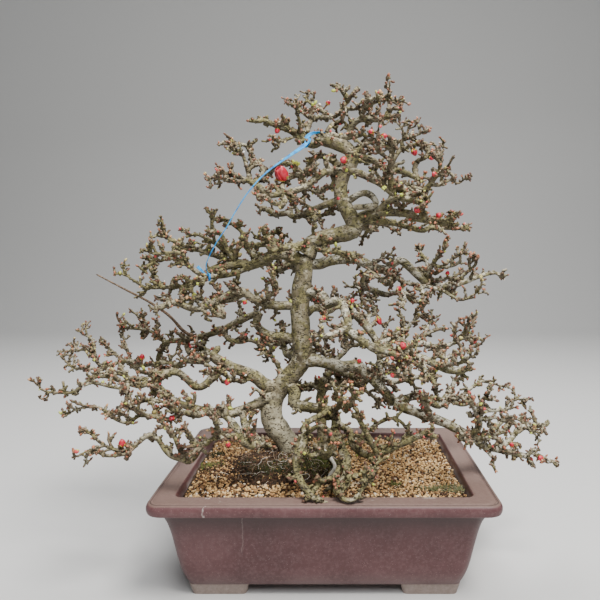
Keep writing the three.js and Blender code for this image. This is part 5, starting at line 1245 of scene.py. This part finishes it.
buds = {
    # small buds: mean number at the end of a twig and of a spur (three at most), length from and to
    "perTip": 0.8, "perSpur": 0.15, "long": (2.4, 4.8),
    # their tints with the odds of each, then the share of twigs whose buds are brighter, with its tints
    "tints": [
        (0.06, 0.15), (0.2, 0.17), (0.3, 0.17), (0.42, 0.15), (0.52, 0.12), (0.62, 0.08), (0.70, 0.05),
        (0.79, 0.05), (0.86, 0.025), (0.95, 0.025), (1.0, 0.015)],
    "bright": 0.06, "brightTints": [0.62, 0.70, 0.78, 0.86, 0.95],
    # leaf buds: length, tint, and the points where they show
    "leafLong": 6.4, "leafTint": 0.87,
    "leaf": [
        (-38, -22, 475), (-32, -22, 472), (-27, -22, 471), (-4, 5, 549), (3, 5, 551), (-15, 0, 540),
        (25, -14, 463), (73, -50, 432), (78, -50, 428), (67, -50, 426), (-220, -40, 252), (-93, -30, 268),
        (-101, -60, 191), (-149, -20, 331), (12, -20, 378), (210, -10, 181)],
    # how a flower bud stands: how far its petals spread at the top, how blunt it is, how far one petal
    # laps over the next, and the sepals' reach, for the first, which is just opening, and for the rest
    "opening": (0.16, 0.46, 0.16, 0.34), "shut": (0.04, 0.62, 0.05, 0.52),
    # flower buds: foot of the stalk, middle, length, radius
    "flowers": [
        ((-46, -16, 452), (-50, -22, 459), 17, 7.2),
        ((-52, -14, 514), (-55, -18, 508), 7, 3),
        ((30, -4, 476), (21, -12, 476), 9, 4.2),
        ((56, -60, 498), (50, -62, 499), 6, 2.6),
        ((56, -58, 496), (64, -60, 495), 7, 2.8),
        ((106, 46, 503), (110, 43, 493), 9, 4),
        ((128, 43, 490), (131, 41, 486), 6.5, 3.2),
        ((124, -38, 455), (121, -44, 456), 8, 2.8),
        ((112, -24, 416), (105, -28, 418), 8, 4.2),
        ((16, -4, 428), (16, -11, 432), 7, 3.6),
        ((-4, 24, 540), (3, 21, 548), 6, 2.8),
        ((-113, -24, 224), (-115, -27, 218), 8, 3.4),
        ((-166, -77, 190), (-166, -83, 191), 8, 3.2),
        ((-232, 30, 226), (-231, 27, 238), 8, 3.4),
        ((-211, -106, 164), (-211, -109, 172), 9, 3.6),
        ((60, 5, 296), (64, 2, 287), 11, 3.6),
        ((82, -100, 272), (81, -105, 274), 9, 4),
        ((36, -11, 233), (40, -16, 241), 6, 2.8),
        ((252, -36, 131), (250, -40, 131), 7, 3.4),
        ((216, -37, 139), (216, -40, 147), 6, 2.6),
        ((-104, -91, 172), (-103, -95, 166), 6, 2.8),
        ((-91, -4, 317), (-96, -8, 310), 6, 2.6),
        ((73, -98, 242), (71, -102, 242), 5.5, 2.6),
        ((92, 4, 324), (88, 0, 326), 8, 3),
        ((148, 15, 338), (148, 12, 344), 6, 2.6),
        ((129, -20, 410), (130, -25, 412), 7, 3.2),
        ((2, -19, 309), (-2, -23, 293), 6, 2.6),
        ((27, -29, 305), (31, -33, 314), 6, 2.6),
    ],
}


def smallBudMaterial():
    # winter buds: each takes its colour from its tint, from dark brown through rust and salmon to
    # yellow-green, crimson and white; the foot of each is darker
    paint = Paint("winterBuds")
    tint, rise = paint.attribute("tint"), paint.attribute("rise")
    colour = paint.ramp(tint, [
        (0.0, (0.050, 0.022, 0.014)), (0.25, (0.15, 0.055, 0.030)), (0.48, (0.34, 0.105, 0.045)),
        (0.62, (0.55, 0.19, 0.095)), (0.72, (0.60, 0.36, 0.16)), (0.80, (0.55, 0.52, 0.16)),
        (0.87, (0.52, 0.62, 0.08)), (0.93, (0.66, 0.05, 0.06)), (0.97, (0.66, 0.05, 0.06)),
        (1.0, (0.85, 0.82, 0.74))])
    colour = paint.mix((1 - rise.above(0.0, 0.55)) * 0.75, colour, (0.10, 0.045, 0.028))
    fine = paint.noise(800, 2)
    return paint.finish(paint.mix(fine * 0.25, colour, (0.55, 0.34, 0.22)), 0.45 + 0.2 * fine, fine, 0.1, 0.5)


def growBuds(lines, radii, count, seed):
    # pointed eggs at the ends of twigs: the outline's radius goes 0.65, 1, 0.35 of the bud's
    # from foot to tip, and each bud leans its own way off the twig's end
    draw = np.random.default_rng(seed)
    which = np.repeat(np.arange(len(lines)), draw.binomial(3, count / 3, len(lines)))
    tip = lines[which, -1]
    along = unit(lines[which, -1] - lines[which, -2])
    n = len(which)
    way = unit(along + draw.normal(size=(n, 3)) * 0.75 + [0, 0, 0.15])
    bright = (draw.uniform(0, 1, len(lines)) < buds["bright"])[which]
    size = (draw.uniform(*buds["long"], n) * (1 + 0.3 * bright))[:, None]
    start = tip + way * np.minimum(radii[which, -1:], 1.0) * 0.3 - along * draw.uniform(0, 1.6, (n, 1))
    path = start[:, None] + way[:, None] * size[:, None] * np.array([0.0, 0.45, 0.93])[:, None]
    radius = size * draw.uniform(0.30, 0.44, (n, 1)) * np.array([0.65, 1.0, 0.35])
    vivid = draw.choice(buds["brightTints"], n)
    tints, odds = np.array(buds["tints"]).T
    tint = np.where(bright, vivid, tints[draw.choice(len(tints), n, p=odds / odds.sum())])
    rise = np.tile([0.0, 0.6, 1.0], (n, 1))
    traits = {"tint": perPoint(np.tile(tint[:, None], 3), 4), "rise": perPoint(rise, 4)}
    return *bundle(path, radius, 4), traits


def makeSmallBuds(grown, material):
    low, high = treeBox()
    for name, kinds, count in [("tipBuds", ("branchlets", "forks", "sprays"), buds["perTip"]),
                               ("spurBuds", ("knobs",), buds["perSpur"])]:
        parts = []
        for number, kind in enumerate(kinds):
            _, lines, radii, _ = grown[kind]
            safe = ((lines[:, -1] > low + 3.5) & (lines[:, -1] < high - 3.5)).all(1)
            parts.append(growBuds(lines[safe], radii[safe], count, 60 + number))
        shape = gather(parts)
        addMesh(name, shape, material)
        print(name, len(shape[1]) * 2 + len(shape[2]), "triangles")


def makeLeafBuds(grown, material):
    # each is an egg of five rings on the bark of the limb or twig nearest to the point where it shows,
    # and leans up and a little forwards
    paths = [(walk(line, 2.0)[0], first, last) for first, last, *line in limbs.values()]
    paths = [(path, np.linspace(first, last, len(path))) for path, first, last in paths]
    twigs = [grown[kind] for kind in ("sprays", "branchlets", "forks")]
    twigs = [(lines.reshape(-1, 3), rims.ravel()) for _, lines, rims, _ in twigs]
    line, thick = [np.concatenate(rows) for rows in zip(*paths, *twigs)]
    seen = np.array(buds["leaf"], float)
    gap = np.linalg.norm(seen[:, None] - line, axis=2) - thick
    near = gap.argmin(1)
    foot = line[near] + unit(seen - line[near]) * thick[near, None] * 0.7
    way = unit(unit(seen - line[near]) + [0, -0.2, 0.5])
    path = foot[:, None] + way[:, None] * buds["leafLong"] * np.array([0, 0.2, 0.45, 0.75, 0.97])[:, None]
    radius = buds["leafLong"] * np.tile([0.14, 0.24, 0.31, 0.22, 0.05], (len(seen), 1))
    rise = perPoint(np.tile([0.2, 0.4, 0.6, 0.8, 1.0], (len(seen), 1)), 8)
    traits = {"tint": np.full(len(rise), buds["leafTint"]), "rise": rise}
    addMesh("leafBuds", (*bundle(path, radius, 8), traits), material)
    print("leaf buds", len(seen), "up to", round(float(gap.min(1).max()), 1), "mm from where they show")


def slab(grid, thick):
    # a thin closed sheet: the grid pushed out and in by half its thickness along its normal, with
    # a strip all round the edge
    a, b, _ = grid.shape
    normal = unit(np.cross(np.gradient(grid, axis=0), np.gradient(grid, axis=1)))
    both = np.concatenate([(grid + side * normal * thick / 2).reshape(-1, 3) for side in (1, -1)])
    number = np.arange(a * b).reshape(a, b)
    top = np.stack([number[:-1, :-1], number[1:, :-1], number[1:, 1:], number[:-1, 1:]], -1).reshape(-1, 4)
    edge = np.concatenate([number[0, :-1], number[:-1, -1], number[-1, :0:-1], number[:0:-1, 0]])
    after = np.roll(edge, -1)
    rim = np.stack([edge, after, after + a * b, edge + a * b], -1)
    return both, np.concatenate([top, top[:, ::-1] + a * b, rim]), np.zeros((0, 3), int)


def budMaterial():
    # waxy petals: crimson with paler veins and rims, a yellow-green calyx that reddens towards its tips,
    # and a brown stalk
    paint = Paint("crimsonPetal")
    part, rise = paint.attribute("part"), paint.attribute("rise")
    fine, streak = paint.noise(500, 3), paint.noise(300, 3, 0.5, (1, 1, 0.3))
    petal = paint.ramp(streak, [
        (0.3, (0.42, 0.010, 0.026)), (0.55, (0.66, 0.026, 0.055)), (0.75, (0.80, 0.11, 0.14))])
    petal = paint.mix(rise.above(0.75, 1.0) * 0.35, petal, (0.78, 0.16, 0.17))
    calyx = paint.ramp(fine, [
        (0.3, (0.34, 0.27, 0.030)), (0.55, (0.50, 0.50, 0.070)), (0.75, (0.62, 0.42, 0.10))])
    calyx = paint.mix(rise.above(0.55, 1.0) * 0.5, calyx, (0.60, 0.16, 0.08))
    stalk = paint.mix(fine, (0.12, 0.055, 0.030), (0.28, 0.16, 0.09))
    colour = paint.mix(part.above(0.4, 0.6), petal, paint.mix(part.above(1.4, 1.6), calyx, stalk))
    return paint.finish(colour, 0.26 + 0.16 * fine, fine + streak, 0.15, 0.6)


def makeFlowerBud(number, foot, middle, long, radius, material):
    # five petals, each a piece of an egg: its radius goes with sin(pi times rise) to a power, and one
    # side of each petal lies over its neighbour; below them five short sepals and a stalk
    draw = np.random.default_rng(400 + number)
    foot, middle = np.array(foot, float), np.array(middle, float)
    axis = unit(middle - foot)
    flat = unit(np.cross(axis, [0.3, 0.2, 1.0]))
    other = np.cross(axis, flat)
    base = middle - axis * long / 2
    opening, blunt, lap, sepals = buds["opening"] if number == 1 else buds["shut"]
    parts = []
    # petals and sepals: height from and to, half width in radians, lift off the bud, rows and columns
    layers = [(0.02, 1.0, 0.86, 0.0, (9, 7) if radius > 4 else (7, 5)), (-0.06, sepals, 0.52, 0.09, (5, 4))]
    for layer, (low, high, width, lift, (rows, columns)) in enumerate(layers):
        for petal in range(5):
            rise, side = np.meshgrid(np.linspace(0, 1, rows), np.linspace(-1, 1, columns), indexing="ij")
            height = low + (high - low) * rise
            spread = side * width * (1 if layer == 0 else 1 - 0.85 * rise**2)
            turn = (spread + 2 * np.pi * petal / 5 + draw.uniform(-0.08, 0.08) + layer * 0.6)[..., None]
            egg = np.sin(np.pi * np.clip(height * 0.93 + 0.035, 0, 1) ** 0.82) ** blunt
            out = egg * (0.93 + lap * side + lift * (0.4 + rise)) + opening * rise**3 * draw.uniform(0.4, 1.4)
            around = np.cos(turn) * flat + np.sin(turn) * other
            grid = base + axis * (height * long)[..., None] + (radius * out)[..., None] * around
            seen = np.tile(rise[:, ::-1].ravel(), 2)
            traits = {"part": np.full(len(seen), float(layer)), "rise": seen}
            parts.append((*slab(grid[:, ::-1], 0.035 * radius + 0.12), traits))
    # inside them a closed egg, and below a stalk that swells at both ends
    core = np.linspace(0.03, 0.95, 8)
    egg = radius * 0.84 * np.sin(np.pi * (core * 0.93 + 0.035) ** 0.82) ** 0.62
    stem = foot + (base + axis * long * 0.06 - foot) * np.linspace(0, 1, 5)[:, None]
    thick = np.array([1.15, 1.0, 0.95, 1.0, 1.15]) * min(1.1, radius * 0.4)
    for path, rim, sides, part, rise in [(base + axis * (core * long)[:, None], egg, 10, 0.0, 0.3),
                                         (stem, thick, 8, 2.0, 0.0)]:
        tube = bundle(path[None], rim[None], sides)
        full = np.ones(len(tube[0]))
        parts.append((*tube, {"part": part * full, "rise": rise * full}))
    piece = addMesh(f"flowerBud{number:02d}", gather(parts), material)
    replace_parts(piece, f"flower_bud_{number:02d}")


def makeFlowerBuds():
    material = budMaterial()
    for number, row in enumerate(buds["flowers"], 1):
        makeFlowerBud(number, *row, material)
    print("flower buds", len(buds["flowers"]))


ribbon = {
    # x, y, z and width along the tape, from the upper tie to the lower
    "line": [
        (-21, -10, 498, 4.6), (-26, -34, 487, 4.4), (-63, -42, 460, 2.1), (-84, -48, 437, 1.4),
        (-100, -46, 414, 1.2), (-111, -44, 396, 1.1), (-123, -42, 379, 1.1), (-136, -32, 356, 1.1),
        (-137, -14, 342, 1.3)],
    # the free ends: over the limb beyond the upper tie, and a stub at the lower one; how far each turns
    "tails": [
        [(-24, -9, 499, 4.4), (-20, -8, 504, 4.4), (-15, -3, 508, 3.6), (-9, 1, 509.5, 3.2),
         (-2, 3, 509.5, 3.2), (5, 6, 508, 2.2)],
        [(-137, -16, 342, 1.2), (-141, -18, 345, 1.4), (-146, -19, 350, 3.0), (-149, -19, 353, 3.6)]],
    "turns": (0.9, 0.2),
    # thickness of the tape, and a width given for the run
    "thick": 0.28, "declared": 1.5,
    # ties: middle, direction of the limb inside, radius, width, turns
    "ties": [((-21, -4.5, 497), (-10, -3, 6), 5.9, 4.5, 2), ((-137, -11, 340), (-16, -5, 2), 4.3, 3.2, 2)],
}


def ribbonMaterial():
    # bright blue, paler on its creases, with painted shade in the ties and on the loose ends where they turn
    paint = Paint("blueTape")
    fine, crease = paint.noise(600, 3), paint.noise(160, 4, 0.6)
    colour = paint.ramp(crease, [
        (0.3, (0.003, 0.13, 0.44)), (0.5, (0.004, 0.34, 0.82)), (0.7, (0.015, 0.52, 0.95))])
    # painted shade: the shade attribute darkens the ties and the turning ends
    colour = paint.mix(paint.attribute("shade") * 0.8, colour, (0.006, 0.035, 0.20))
    return paint.finish(colour, 0.56 + 0.2 * fine, crease + 0.3 * fine, 0.4, 0.8)


def tapeAlong(rows, turnBy, curlBy):
    # a flat tape on a line: its width lies across the line and square to the view's depth, turned
    # slowly along it and curled a little across
    line = np.array(rows, float)
    path, run = walk(line[:, :3], 2.0)
    wide = np.interp(np.linspace(0, 1, len(path)), np.linspace(0, 1, len(line)), line[:, 3])
    along = unit(np.gradient(path, axis=0))
    flat = unit(np.cross(along, [0.0, 1.0, 0.0]))
    deep = np.cross(along, flat)
    turn = turnBy * np.sin(run / 26) + 1.2 * turnBy * np.clip(run / run[-1] - 0.6, 0, 1)
    side = flat * np.cos(turn)[:, None] + deep * np.sin(turn)[:, None]
    across = np.linspace(-0.5, 0.5, 5)
    curl = curlBy * wide[:, None] * (across**2 * 4 - 1) * np.sin(run / 9 + 0.5)[:, None]
    flatGrid = path[:, None] + side[:, None] * (wide[:, None] * across)[..., None]
    return flatGrid + deep[:, None] * curl[..., None], run[-1]


def makeRibbon():
    # the free run between the ties is one piece, and its ties and loose ends are another; a tie is a
    # coil round its limb's direction, its radius waving a little
    material = ribbonMaterial()
    grid, long = tapeAlong(ribbon["line"], 0.25, 0.10)
    run = slab(grid, ribbon["thick"])
    piece = addMesh("guyRibbon", (*run, {"shade": np.zeros(len(run[0]))}), material)
    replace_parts(piece, "guy_ribbon")
    long * mm
    parts = []
    for tail, fold in zip(ribbon["tails"], ribbon["turns"]):
        grid, _ = tapeAlong(tail, fold, 0.16)
        shell = slab(grid, ribbon["thick"])
        # painted shade along each loose end, deeper the more it turns
        share = np.clip(np.tile(np.repeat(np.linspace(0, 1, grid.shape[0]), 5), 2) * 2 - 0.7, 0, 1)
        parts.append((*shell, {"shade": share * fold}))
    for middle, direction, radius, width, turns in ribbon["ties"]:
        axis = unit(np.array(direction, float))
        flat = unit(np.cross(axis, [0.0, 0.0, 1.0]))
        up = np.cross(axis, flat)
        turn = np.linspace(0, 2 * np.pi * turns, 30 * turns)[:, None]
        centre = np.array(middle) + axis * (np.linspace(-0.35, 0.35, len(turn)) * width)[:, None]
        wavy = radius + 0.35 * np.sin(turn * 2.3) + 0.15 * turn / 6.28
        ring = centre + wavy * (np.cos(turn) * flat + np.sin(turn) * up)
        grid = ring[:, None] + axis * (width * 0.45 * np.linspace(-0.5, 0.5, 4))[None, :, None]
        shell = slab(grid, ribbon["thick"])
        # painted shade over the whole tie
        parts.append((*shell, {"shade": np.full(len(shell[0]), 0.35)}))
    addMesh("ribbonTies", gather(parts), material)
    print("ribbon runs", round(float(long), 1), "mm between its ties")


makeCamera()
makeStudio()
bark = barkMaterial()
makeTree(bark)
grownTwigs = makeTwigs(bark)
winterBud = smallBudMaterial()
makeSmallBuds(grownTwigs, winterBud)
makeLeafBuds(grownTwigs, winterBud)
makeFlowerBuds()
makeRibbon()
makePot(clayMaterial())
for side in ("left", "right"):
    dress(f"drain_screen_{side}", screenMaterial())
makeSoil()
makePeat(bpy.data.materials["bakedGrains"])
makeFallenPetal(bpy.data.materials["crimsonPetal"])
makeMoss()
makeFineRoots()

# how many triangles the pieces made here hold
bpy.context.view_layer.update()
meshes = [o.data for o in bpy.data.objects if o.type == "MESH" and o.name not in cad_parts]
print("pieces hold", sum(len(m.loops) - 2 * len(m.polygons) for m in meshes), "triangles")
